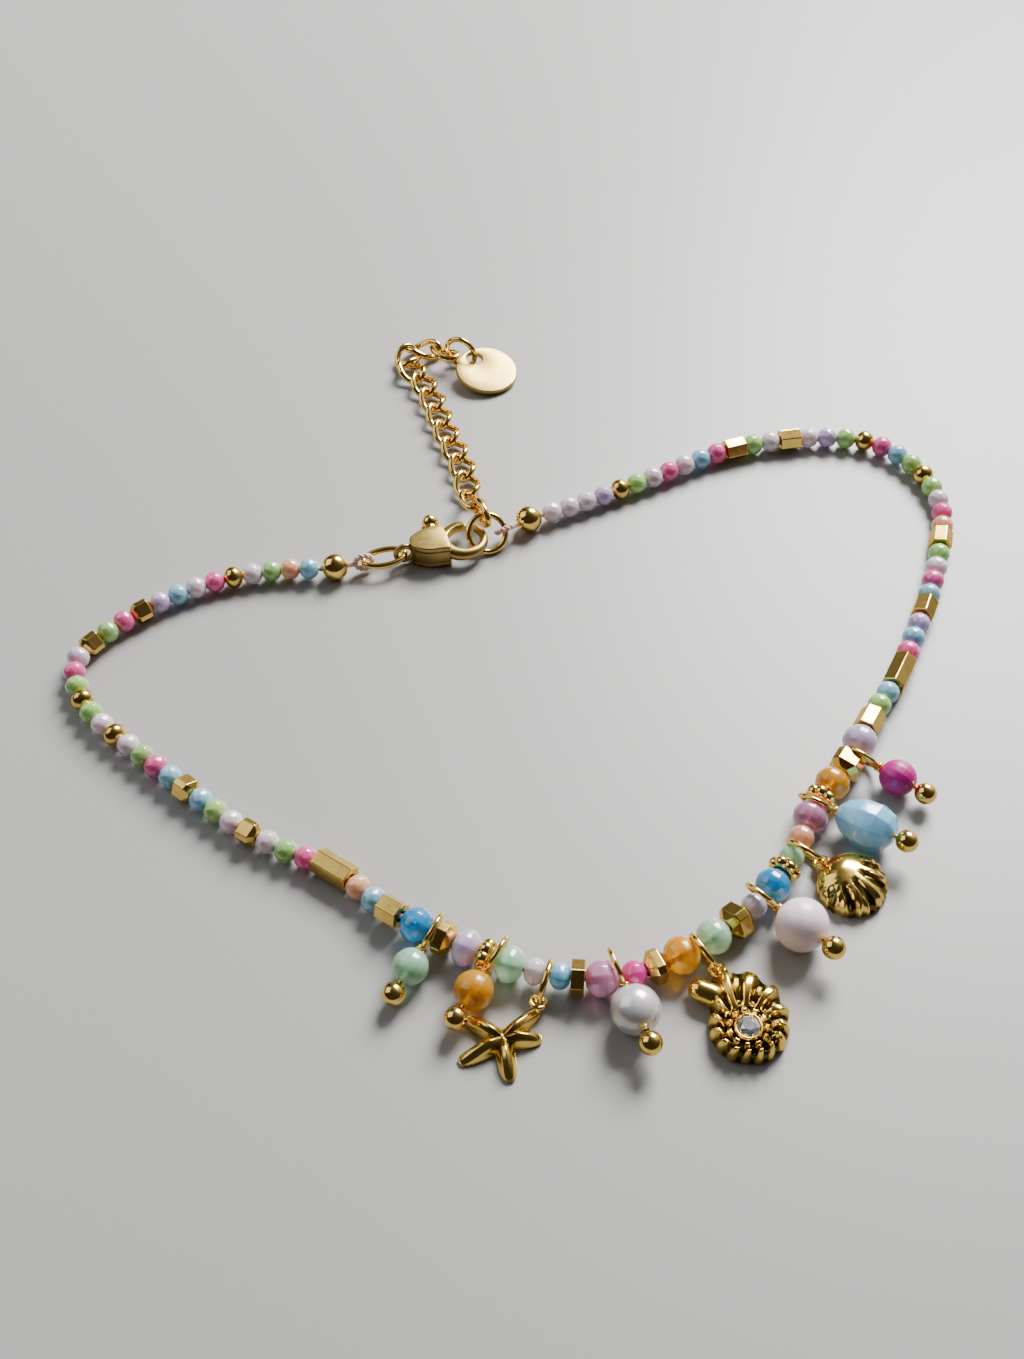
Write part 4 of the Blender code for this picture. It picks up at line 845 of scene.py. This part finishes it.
def makeFront():
    s = sFront
    before = None
    for name, form, colour, nominal, diameter, hanger in frontBeads:
        length = nominal * packing["front"]
        beside = bool(hanger), bool(before)
        solid = length - frontBead["gap"] + frontBead["grow"] * beside.count(True)
        middle = s + length / 2 + frontBead["grow"] / 2 * (beside[0] - beside[1])
        before = hanger
        place = beadPlace(middle) @ turned(draw.uniform(0, tau))
        build = Build()
        if form == "round":
            facets = frontBead["large" if diameter > frontBead["limit"] else "small"]
            build.add(facetedStone(solid, diameter, frontBead["hole"], *facets), place)
            build.piece("stone_" + name, stones[colour], colour, (name,))
        else:
            if form == "cut":
                build.add(cornerlessCube(solid, diameter, 0.8), place, False)
            elif form == "hex":
                build.add(hexTube(solid, diameter), place, False)
            else:
                lobedSpacer(build, place, solid, diameter, 0.5)
            kind, material = frontGold[form]
            build.piece(f"{kind}_{name}", material, "gold", (name,))
        s += length
        if hanger:
            hangers[hanger] = s + hangerRoom(hanger) / 2
            s += hangerRoom(hanger)
    build = Build()
    first, last = sFront + 0.1, sRight - 0.2
    core = [threadAt(first + (last - first) * k / 120) for k in range(121)]
    for ply in twisted(core, thread["diameter"] / 2, 60):
        build.add(ply)
    build.piece("thread_in_front", threadLook, "thread", ("thread_front",))


makeFront()
print("front beads done")

# Drops

# the wrap at a pin's loop: radius, thickness, start and length in radii of the wire
wrap = dict(turns=1.6, points=34, radius=1.55, thick=0.8, start=1.2, length=2.64)
teardrop = [(0.32, -0.99), (0.66, -0.74), (0.94, -0.24), (0.99, 0.34), (0.76, 0.78), (0.32, 1.0)]


def makeDrop(name, s):
    colour, length, diameter, offset, swing, lean = drops[name]
    out = outward(s, swing)
    strand = threadAt(s)
    loopReach = pin["loop"] / 2
    loopHeight = max(loopReach, strand.z - shift.z) + shift.z
    centre = strand + out * offset
    centre.z = loopHeight
    beadFar = loopReach + pin["gap"] + length / 2
    rise = (diameter / 2 + shift.z - loopHeight) / beadFar
    along = (out + Vector((0, 0, rise))).normalized()
    place = placeAt(centre, along, upward.cross(out))
    stemPlace = place @ turned(pi / 2, "Y")
    wire = pin["wire"] / 2
    build = Build()
    build.add(sweep(around(loopReach - wire, 56), wire, 14, True),
              place @ turned(radians(lean), "X"))
    # the wire's end lies beside the stem as a short wrap
    steps = wrap["points"] - 1
    line = [polar(wire * wrap["radius"], tau * wrap["turns"] * k / steps,
                  loopReach - wire * wrap["start"] + wire * wrap["length"] * k / steps)
            for k in range(wrap["points"])]
    build.add(sweep(line, wire * wrap["thick"], 10), stemPlace)
    ballCentre = beadFar + length / 2 + pin["gap"] + pin["ball"] / 2 * pin["seat"]
    stem = [Vector((0, 0, z)) for z in (loopReach - wire, beadFar, ballCentre)]
    build.add(sweep(stem, wire, 12), stemPlace)
    build.add(ball(pin["ball"] / 2, 30, 20, ballCentre), stemPlace)
    build.piece("head_pin_" + name, gold, "gold", (name + "_pin",))
    beadOnPin = stemPlace @ Matrix.Translation((0, 0, beadFar)) @ turned(draw.uniform(0, 1))
    reach, half, neck = diameter / 2, length / 2, wire * 1.6
    if name in ("drop_pearl", "drop_rose"):
        shape = lathe(boredRows(reach, half, neck, half * 0.985, 40), 56)
    elif name == "drop_teardrop":
        rows = [(reach * r, half * z) for r, z in teardrop]
        shape = facetedStone(length, diameter, 0.3, 9, 9, rows, 0.15, 3)
    else:
        shape = facetedStone(length, diameter, 0.34, 15, 11)
    Build().add(shape, beadOnPin).piece("bead_of_" + name, stones[colour], colour, (name,))


for dropName in drops:
    makeDrop(dropName, hangers[dropName])
print("drops done")

# Charms: swing of the ring, turn of the charm after its bail and lean of the ring, in degrees

charms = {
    "starfish": dict(swing=-4, turn=-26, lean=-9),
    "ammonite": dict(swing=-2, turn=-11, lean=19),
    "scallop": dict(swing=-10, turn=-3, lean=27),
}
bail = dict(hole=0.76, wire=0.38, angle=radians(33), shift=0.12, sink=0.2, lean=radians(-22))


def crossing(size, angle):
    # level and upward distance from a ring's centre to its wire
    radius = (size["diameter"] - size["wire"]) / 2
    return radius * cos(angle), -radius * sin(angle)


def openRing(size, slit=0.09):
    # a jump ring whose two cut ends meet with a fine slit
    radius = (size["diameter"] - size["wire"]) / 2
    slit /= radius
    points = [polar(radius, size["gap"] + slit / 2 + (tau - slit) * k / 64) for k in range(65)]
    return sweep(points, size["wire"] / 2, 14)


def charmFrame(name, s):
    charm = charms[name]
    out = outward(s, charm["swing"])
    centre = threadAt(s) + out * charmRing["reach"]
    lean = radians(charm["lean"])
    radius = (charmRing["diameter"] - charmRing["wire"]) / 2
    centre.z = radius * cos(lean) + charmRing["wire"] / 2 + shift.z
    place = placeAt(centre, out, upward.cross(out)) @ turned(lean, "X")
    Build().add(openRing(charmRing), place).piece(
        "jump_ring_" + name, gold, "gold", (name + "_ring",))
    level, height = crossing(charmRing, bail["angle"])
    rise = Matrix.Rotation(lean, 3, out) @ upward
    bailCentre = centre + out * (level + bail["shift"]) + rise * height
    return bailCentre, Matrix.Rotation(radians(charm["turn"]), 3, "Z") @ out


def charmPlace(bailCentre, along, distance):
    centre = bailCentre + along * distance
    centre.z = shift.z
    return placeAt(centre, -along)


def bailShape(centre, along):
    radius = (bail["hole"] + bail["wire"]) / 2
    place = placeAt(centre, along) @ turned(bail["lean"], "Y")
    return moved(sweep(around(radius, 48), bail["wire"] / 2, 14, True), place)


def reliefShape(outline, height, edge, sides, rings):
    # a cast body: outline(angle) is its reach, height(share, angle) its top
    angles = [tau * k / sides for k in range(sides)]
    verts = [Vector((0, 0, height(0, 0)))]
    for i in range(1, rings + 1):
        share = sin(pi / 2 * i / rings) if i < rings else 1.0
        verts += [polar(outline(a) * share, a, height(share, a)) for a in angles]
    for lift, inset in ((0.5, 0.0), (0.12, 0.04), (0.0, 0.16)):
        verts += [polar(outline(a) - inset, a, edge * lift) for a in angles]
    verts.append(Vector((0, 0, 0)))
    faces = []
    last = 1 + (rings + 2) * sides
    for k in range(sides):
        n = (k + 1) % sides
        faces.append((0, 1 + k, 1 + n))
        for low in range(1, last, sides):
            high = low + sides
            faces.append((low + k, high + k, high + n, low + n))
        faces.append((last + k, len(verts) - 1, last + n))
    return verts, faces


# arms: angle from the arm that holds the bail and bend, in degrees, and reach
starArms = [(0, -6, 3.75), (-49, 10, 2.9), (-124, -8, 3.3), (156, 8, 3.7), (104, -12, 3.4)]
starfish = dict(distance=3.45, core=1.05, edge=0.35, width=0.74, bailWidth=0.66, power=3.2,
                rise=1.25, foot=0.25, ridge=0.72, hollow=0.55, hollowWide=0.80, least=0.22)


def armReach(angle):
    # reach of the outline at an angle, and degrees from the nearest arm's ridge
    best, ridge = 0.0, 0.0
    power = starfish["power"]
    for turn, bend, reach in starArms:
        off = (degrees(angle) - turn - bend * 0.5 + 180) % 360 - 180
        width = starfish["width" if turn else "bailWidth"]
        side = max(abs(sin(radians(off))), 0.001)
        if abs(off) < 85:
            along = (reach**-power + (side / width) ** power) ** (-1 / power)
            if along > best:
                best, ridge = along, off
    return best, ridge


def starOutline(angle):
    return max(starfish["core"], armReach(angle)[0])


def starHeight(share, angle):
    radius = share * starOutline(angle)
    body = starfish["rise"] * (1 - smoothStep(radius / 6.0)) + starfish["foot"]
    edge = sqrt(max(0.0, 1 - share**5))
    across = min(1.0, radius * abs(sin(radians(armReach(angle)[1]))) / starfish["ridge"])
    hollow = starfish["hollow"] * exp(-((radius / starfish["hollowWide"]) ** 2))
    crest = sqrt(1 - 0.80 * across**1.4) if share > 0 else 1.0
    return max(starfish["least"], body * edge * crest - hollow)


# painted shade: the hollow middle of the star is drawn darker
def starPaintedShade(spot):
    return 1 - 0.85 * exp(-(spot.x**2 + spot.y**2) / 0.9)


def makeStarfish(s):
    bailCentre, along = charmFrame("starfish", s)
    place = charmPlace(bailCentre, along, starfish["distance"] + bail["hole"] / 2)
    build = Build()
    build.add(reliefShape(starOutline, starHeight, starfish["edge"], 360, 40), place,
              shade=starPaintedShade)
    build.add(bailShape(bailCentre, along))
    build.piece("starfish_cast", goldCast, "gold", ("starfish",))


ammonite = dict(height=1.9, edge=0.55, ribs=14, innerRibs=11, facing=radians(106), overlap=0.4,
                crystal=1.8, crystalDeep=1.0, proud=0.25, seat=0.22, collar=0.62)
mouth = dict(length=2.9, wide=1.8, distance=3.0, away=radians(116), heading=radians(152))
# reach of the outline at each angle in degrees
ammoniteReach = [(0, 3.1), (30, 3.7), (60, 4.6), (85, 5.2), (103, 5.45), (113, 5.2), (121, 4.3),
                 (133, 3.5), (150, 3.0), (175, 2.75), (215, 2.5), (260, 2.2), (310, 2.5),
                 (360, 3.1)]


def ammoniteOutline(angle):
    turn = degrees(angle) % 360
    for (a, low), (b, high) in zip(ammoniteReach, ammoniteReach[1:]):
        if a <= turn <= b:
            reach = low + (high - low) * smoothStep((turn - a) / (b - a))
            return reach * (1 + 0.03 * cos(ammonite["ribs"] * angle))


def makeAmmonite(s):
    bailCentre, along = charmFrame("ammonite", s)
    facing = ammonite["facing"]
    distance = ammoniteOutline(facing) + bail["hole"] / 2 - ammonite["overlap"]
    place = charmPlace(bailCentre, along, distance) @ turned(-facing)
    girdle = ammonite["crystal"] / 2
    inside = girdle + ammonite["seat"]
    collar = inside + ammonite["collar"]
    base = ammonite["edge"]
    full = ammonite["height"] - base

    def partAt(share, angle):
        # distance from the middle, and its share of the way from collar to edge
        reach = ammoniteOutline(angle)
        return share * reach, (share * reach - collar) / max(0.1, reach - collar)

    def ribAt(share, angle):
        # height of the ribs from 0 in a recess to 1 on a crest
        radius, part = partAt(share, angle)
        if radius > collar:
            return smoothStep(0.58 + 0.62 * cos(ammonite["ribs"] * (angle - 0.16 * (1 - part))))
        return smoothStep(0.60 + 0.62 * cos(ammonite["innerRibs"] * angle + 0.7))

    def height(share, angle):
        radius, part = partAt(share, angle)
        rib = ribAt(share, angle)
        if radius > collar:
            crown = sin(pi * (0.13 + 0.72 * part)) ** 0.55
            edge = sqrt(max(0.0, 1 - part**6))
            deep = 0.52 * smoothStep(part / 0.22)
            return base * 0.9 + full * crown * edge * (1 - deep * (1 - rib))
        if radius < inside:
            return base + full * 0.3
        part = max(0.0, min(1.0, (radius - inside) / (collar - inside)))
        crown = sin(pi * (0.16 + 0.72 * part)) ** 0.6
        return base + full * 0.92 * crown * (0.66 + 0.34 * rib)

    # painted shade: darker between the ribs and along the groove round the collar
    def paintedShade(spot):
        angle, radius = atan2(spot.y, spot.x), hypot(spot.x, spot.y)
        rib = ribAt(radius / ammoniteOutline(angle), angle)
        seamShade = 1 - 0.75 * exp(-(((radius - collar) / 0.13) ** 2))
        return (0.10 + 0.90 * smoothStep(rib / 0.62)) * seamShade

    build = Build()
    build.add(reliefShape(ammoniteOutline, height, base, 432, 60), place, shade=paintedShade)
    # smooth mouth of the shell
    wide = mouth["wide"] / 2
    start = polar(1, mouth["away"]) * mouth["distance"]
    start.z = wide * 1.02
    heading = polar(1, mouth["heading"])
    points, sizes = [], []
    for k in range(33):
        t = k / 32
        points.append(start + heading * mouth["length"] * t)
        tip = max(0.0, (abs(t - 0.5) - 0.12) / 0.38)
        sizes.append(wide * sqrt(max(0.02, 1 - tip**2.4)))
    build.add(sweep(points, sizes, 28), place)
    # lip round the crystal
    lipTop = ammonite["height"] - 0.05
    lip = [(0.01, -1.3), (0.01, -0.06), (0.07, 0), (0.13, -0.02), (0.19, -0.18), (0.21, -1.3)]
    build.add(lathe([(girdle + r, lipTop + z) for r, z in lip], 64), place)
    build.add(bailShape(bailCentre, along))
    build.piece("ammonite_cast", goldCast, "gold", ("ammonite",))
    # brilliant-cut crystal: share of the girdle, depth below the top and turn of each row
    cut = bmesh.new()
    for share, depth, turn in ((0.54, 0, 0), (0.82, 0.17, 0.5), (1.0, 0.36, 0), (1.0, 0.42, 0),
                               (0.5, 0.8, 0.5), (0.04, 1, 0)):
        z = lipTop + ammonite["proud"] - depth * ammonite["crystalDeep"]
        for v in around(share * girdle, 8, z, turn):
            cut.verts.new(v)
    bmesh.ops.convex_hull(cut, input=cut.verts)
    bmesh.ops.dissolve_limit(cut, angle_limit=0.01, verts=cut.verts, edges=cut.edges)
    kept = [v for v in cut.verts if v.link_faces]
    index = {v: i for i, v in enumerate(kept)}
    shape = [v.co.copy() for v in kept], [tuple(index[v] for v in f.verts) for f in cut.faces]
    cut.free()
    Build().add(shape, place, False).piece("crystal_cut", crystalLook, "crystal", ("crystal",))


scallop = dict(length=5.8, width=6.0, height=2.3, edge=0.5, ribs=18, edgeRibs=26, hinge=0.80)


def scallopOutline(angle):
    fan = 0.5 - 0.5 * cos(angle)
    reach = 1 / sqrt((cos(angle) / (scallop["length"] / 2)) ** 2
                     + (sin(angle) / (scallop["width"] / 2)) ** 2)
    rib = 1 + 0.03 * fan * cos(scallop["edgeRibs"] * angle)
    return reach * rib * (1 - 0.12 * (1 - fan) ** 3)


def makeScallop(s):
    bailCentre, along = charmFrame("scallop", s)
    place = charmPlace(bailCentre, along, scallopOutline(0) + bail["hole"] / 2 - bail["sink"])
    hinge = scallop["length"] / 2 * scallop["hinge"]
    edge = scallop["edge"]

    def ribAt(x, y):
        # ribs fan out from the hinge
        away, turn = hypot(x - hinge, y), atan2(y, hinge - x)
        grow = smoothStep((away - 2.0 - 0.5 * cos(turn)) / 0.7)
        return 1 - grow * (1 - smoothStep(0.56 + 0.62 * cos(scallop["ribs"] * turn)))

    def height(share, angle):
        reach = scallopOutline(angle)
        x, y = share * reach * cos(angle), share * reach * sin(angle)
        rise = sqrt(max(0.0, 1 - share**2.6))
        level = edge + (scallop["height"] - 0.15 - edge) * rise
        umbo = exp(-((x - hinge * 0.40) ** 2 + (y * 0.95) ** 2) / 1.1)
        return level - 0.30 * (0.4 + 0.6 * rise) * (1 - ribAt(x, y)) + 0.15 * umbo

    # painted shade: darker between the ribs
    def paintedShade(spot):
        return 0.12 + 0.88 * smoothStep(ribAt(spot.x, spot.y) / 0.6)

    build = Build()
    build.add(reliefShape(scallopOutline, height, edge, 432, 60), place, shade=paintedShade)
    build.add(bailShape(bailCentre, along))
    build.piece("scallop_cast", goldCast, "gold", ("scallop",))


makeStarfish(hangers["starfish"])
makeAmmonite(hangers["ammonite"])
makeScallop(hangers["scallop"])
print("charms done")

# Crimps, link and clasp


def makeCrimp(name, s):
    reach, hole = crimp["diameter"] / 2, crimp["hole"]
    limit = acos(hole / reach)
    lifts = [limit - 2 * limit * k / 22 for k in range(23)]
    rows = [(reach * cos(a), reach * sin(a)) for a in lifts]
    inside = hole * crimp["lip"]
    rows = [(inside, rows[0][1] - 0.08)] + rows + [(inside, -rows[0][1] + 0.08)]
    Build().add(lathe(rows, 44), beadPlace(s)).piece("crimp_ball_" + name, gold, "gold", (name,))


def makeLink():
    wire = link["wire"]
    long, wide = (link["length"] - wire) / 2, (link["width"] - wire) / 2
    points = [(long * cos(a), wide * sin(a), 0) for a in (tau * k / 72 for k in range(72))]
    place = placeAt(threadAt(sLink), threadAt(sEye) - threadAt(sLeftLoop))
    Build().add(sweep(points, wire / 2, 14, True), place).piece(
        "link_oval", gold, "gold", ("oval_link",))


def spaced(first, last, count):
    return [first + (last - first) * k / (count - 1) for k in range(count)]


def hookPoints(radius, angles):
    return [(clasp["hookX"] + radius * cos(a), clasp["hookY"] + radius * sin(a)) for a in angles]


def plate(outline, low, high, edge):
    return softened(*prism(outline, low, high), edge, 3, radians(50))


def makeClaspFrame(place, eyePlace):
    c = clasp
    neck, front, back = c["neck"], c["front"], c["backWidth"] / 2
    low, high = c["hookY"] - c["width"] / 2, c["hookY"] + c["width"] / 2
    span = front - neck
    outline = [
        (neck, -back), (neck + 0.32 * span, low + 0.3), (neck + 0.75 * span, low),
        (front, low + 0.1), (front, high - 0.75), (neck + 0.8 * span, high),
        (neck + 0.32 * span, high - 0.3), (neck, back),
    ]
    fine = [(p.x, p.y) for p in smoothThrough(outline, True, 6)[:-1]]
    build = Build()
    slot = c["leverThickness"] / 2 + c["sideGap"]
    half = c["thickness"] / 2
    build.add(plate(fine, slot, half, c["edge"]), place, True)
    build.add(plate(fine, -half, -slot, c["edge"]), place, True)
    # core between the plates, below the lever
    floorY = c["pivotY"] - c["rootRadius"] - c["rootGap"]
    core = []
    for x, y in fine:
        p = x, min(y, floorY)
        if not core or (Vector(p) - Vector(core[-1])).length > 0.02:
            core.append(p)
    tail = [(neck, -back), (neck + 0.9, -back - 0.5), (neck + 0.9, back + 0.5), (neck, back)]
    for line in (core, tail):
        build.add(prism(line, -slot - 0.02, slot + 0.02), place, False)
    # hook
    last = 59
    sizes = []
    for i in range(last + 1):
        t = i / last
        width = c["wireRoot"] + (c["wireTip"] - c["wireRoot"]) * min(1.0, t * 1.55)
        sizes.append(width / 2 * sqrt(max(0.05, 1 - max(0.0, (t - 0.95) / 0.05) ** 2)))
    line = hookPoints(c["hookRadius"], spaced(c["hookStart"], tau + c["hookTip"], last + 1))
    build.add(sweep([(*p, 0) for p in line], sizes, 22), place)
    # eye at the tail and the pivot's rivet heads
    eyeRadius = (c["eyeHole"] + c["eyeWire"]) / 2
    build.add(sweep(around(eyeRadius, 44), c["eyeWire"] / 2, 14, True), eyePlace)
    stem = [(x, 0, 0) for x in (eyeRadius, neck + 0.1, neck + 0.5)]
    build.add(sweep(stem, [0.30, 0.42, 0.55], 20), place)
    rivet = [(0.02, 0.02), (0.22, 0.04), (0.33, 0.1), (c["rivet"], 0.2)]
    rows = [(r, half - z) for r, z in rivet] + [(r, z - half) for r, z in rivet[::-1]]
    build.add(lathe(rows, 26, False), place @ Matrix.Translation((c["pivotX"], c["pivotY"], 0)))
    build.piece("clasp_frame", goldSatin, "gold", ("clasp_body",), autoSmooth=radians(35))


def makeLever(place):
    c = clasp
    half = c["gateWidth"] / 2
    px, py, r, tab = c["pivotX"], c["pivotY"], c["rootRadius"], c["tabReach"]
    line = [(px + r * cos(a), py + r * sin(a)) for a in spaced(radians(175), radians(350), 12)]
    line += hookPoints(c["hookRadius"] - half, spaced(c["backAngle"], c["tipInner"], 12))
    line += hookPoints(c["hookRadius"] + half, spaced(c["tipOuter"], c["backAngle"], 12))
    line += [(px + 0.35, py + r + 0.05), (px + 0.12, py + tab * 0.72), (px - 0.1, py + tab),
             (px - 0.1 - c["tabWidth"], py + tab - 0.15), (px - 0.72, py + tab * 0.62),
             (px - 0.75, py + r)]
    lever = Build()
    thick = c["leverThickness"] / 2
    lever.add(plate(line, -thick, thick, 0.1), place, True)
    stem = [(px - 0.2, py + r, 0), (px + 0.1, py + 1.8, 0.1), (px + 0.25, py + 2.5, 0.15)]
    lever.add(sweep(stem, [0.7, 0.66, 0.7], 20), place)
    knob = Matrix.Translation((px + 0.25, py + 2.6, 0.15)) @ Matrix.Diagonal((1, 1, 1.2, 1))
    lever.add(ball(c["knob"], 32, 20), place @ knob)
    lever.piece("clasp_gate", gold, "gold", ("clasp_lever",), leverBody,
                autoSmooth=radians(35))


def makeClasp():
    eye, along = threadAt(sEye), claspDirection()
    place = placeAt(eye, along)
    makeClaspFrame(place, placeAt(eye, along, upward.cross(along)))
    makeLever(place)
    ringPlace = placeAt(ringCentre(), along, along.cross(leanAxis()))
    Build().add(sweep(around(ringRadius, 80), ring["thick"] / 2, 16, True), ringPlace).piece(
        "ring_at_hook", gold, "gold", ("main_ring",))


makeCrimp("crimp_left", 0.0)
makeCrimp("crimp_right", sRightCrimp)
makeLink()
makeClasp()
print("clasp done")

# Extender chain, tag ring and tag

chain = dict(length=4.35, width=3.2, slim=0.07, wire=0.7, thin=0.94, grip=0.12,
             twist=radians(45), hold=radians(84), play=0.65, tagPlay=0.85)


def chainLink(start, end, rollStart, rollEnd):
    half = (chain["length"] - chain["wire"]) / 2
    side = (chain["width"] - chain["wire"]) / 2 - chain["slim"]
    points = []
    for k in range(48):
        angle = tau * k / 48
        roll = rollStart + (rollEnd - rollStart) * (0.5 + 0.5 * cos(angle))
        across = side * sin(angle)
        points.append((half * cos(angle), across * cos(roll), across * sin(roll)))
    wire = chain["wire"] * chain["thin"] / 2
    return moved(sweep(points, wire, 14, True), placeAt((start + end) / 2, end - start))


def makeChain():
    held = ringCentre() + ringRadius * (claspDirection() * cos(chain["hold"])
                                        + leanAxis() * sin(chain["hold"]))
    level = chain["width"] / 4 + chain["wire"] / 4 + shift.z
    pitch = chain["length"] - 2 * chain["wire"] + chain["grip"]
    flat = [Vector(p) + shift.xy for p in chainPoints]
    firstWay = (flat[1] - flat[0]).normalized() * chain["play"]
    lastWay = (flat[-1] - flat[-2]).normalized() * chain["tagPlay"]
    path = Path(smoothThrough([held.xy - firstWay, *flat[1:-1], flat[-1] + lastWay], False))
    count = round(path.total / pitch)
    joints = []
    for k in range(count + 1):
        spot = path.at(min(path.total, k * path.total / count))
        height = level + (held.z - level) * (1 - smoothStep(k / 2))
        joints.append(Vector((spot.x, spot.y, height)))
    joints[-1].z = tagRing["diameter"] / 2 + crossing(tagRing, tagRing["angle"])[1] + shift.z
    twist = chain["twist"]
    rolls = [(pi / 2, pi / 2), (0.0, twist)] + [(-twist, twist)] * (count - 3) + [(-twist, 0.0)]
    build = Build()
    for start, end, roll in zip(joints, joints[1:], rolls):
        build.add(chainLink(start, end, *roll))
    build.piece("chain_links", gold, "gold", ("extender_chain",))
    return joints[-1] - Vector((lastWay.x, lastWay.y, 0))


tagRing = dict(diameter=4.0, wire=0.6, angle=radians(20), heading=radians(-25),
               gap=radians(95))
tag = dict(diameter=6.8, thickness=0.6, hole=1.8, rim=0.45, heading=radians(-48), edge=0.13)


def makeTag(lastJoint):
    heading = polar(1, tagRing["heading"])
    level, drop = crossing(tagRing, tagRing["angle"])
    centre = lastJoint + heading * level
    centre.z = tagRing["diameter"] / 2 + shift.z
    place = placeAt(centre, heading, upward.cross(heading))
    Build().add(openRing(tagRing), place).piece(
        "ring_of_tag", gold, "gold", ("tag_ring",))
    holeCentre = centre + heading * level + Vector((0, 0, drop))
    reach, half = tag["diameter"] / 2, tag["thickness"] / 2
    holeReach = reach - tag["rim"] - tag["hole"] / 2
    # the disc leans from the ring down to the surface
    slope = asin((holeCentre.z - shift.z - half) / (reach + holeReach))
    down = polar(1, tag["heading"]) * cos(slope) - Vector((0, 0, sin(slope)))
    bore = circle(tag["hole"] / 2, 96, -holeReach)
    shape = softened(*prism(circle(reach, 96), -half, half, bore), tag["edge"], 3, radians(50))
    Build().add(shape, placeAt(holeCentre + down * holeReach, down)).piece(
        "tag_disc", goldSatin, "gold", ("tag",), autoSmooth=radians(30))


makeTag(makeChain())
print("chain and tag done")

# Floor and light


def makeFloor():
    mesh = bpy.data.meshes.new("floor")
    work = bmesh.new()
    bmesh.ops.create_grid(work, x_segments=1, y_segments=1, size=2.5)
    work.to_mesh(mesh)
    work.free()
    floor = bpy.data.objects.new("floor", mesh)
    bpy.context.scene.collection.objects.link(floor)
    look = newLook("floorPale", {"Base Color": (0.35, 0.348, 0.344, 1), "Roughness": 0.42})
    mesh.materials.append(look.owner)


def makeLight(name, place, side, power, colour):
    # a square lamp, in metres and watts, that faces the anklet
    lamp = bpy.data.lights.new(name, "AREA")
    lamp.shape = "RECTANGLE"
    lamp.size = lamp.size_y = side
    lamp.energy = power
    lamp.color = colour
    item = bpy.data.objects.new(name, lamp)
    item.location = place
    item.rotation_euler = (-Vector(place)).to_track_quat("-Z", "Y").to_euler()
    bpy.context.scene.collection.objects.link(item)


def makeWorld():
    world = bpy.data.worlds.new("studio")
    look = Look(world)
    where = look.node("TexCoord").outputs["Generated"]
    turn = look.node("VectorMath", {0: where, 1: (0.55, 0.65, 0.52)}, operation="DOT_PRODUCT")
    sky = look.ramp(turn.outputs["Value"], (0.0, (0.04, 0.036, 0.03)),
                    (0.55, (0.07, 0.07, 0.07)), (0.80, (0.26, 0.26, 0.27)),
                    (0.93, (1.0, 1.0, 1.0)))
    # the backdrop seen behind the floor stays pale
    seen = look.node("LightPath").outputs["Is Camera Ray"]
    look.fill(look.tree.nodes["Background"],
              {"Color": look.mix(seen, sky, (0.50, 0.50, 0.49, 1)), "Strength": 1.0})
    bpy.context.scene.world = world


makeFloor()
makeLight("window", (0.20, 0.36, 0.34), 0.26, 9.6, (1.0, 0.99, 0.97))
makeLight("fill", (-0.45, 0.15, 0.40), 0.5, 1.3, (0.95, 0.97, 1.0))
makeWorld()
print("floor and light done")
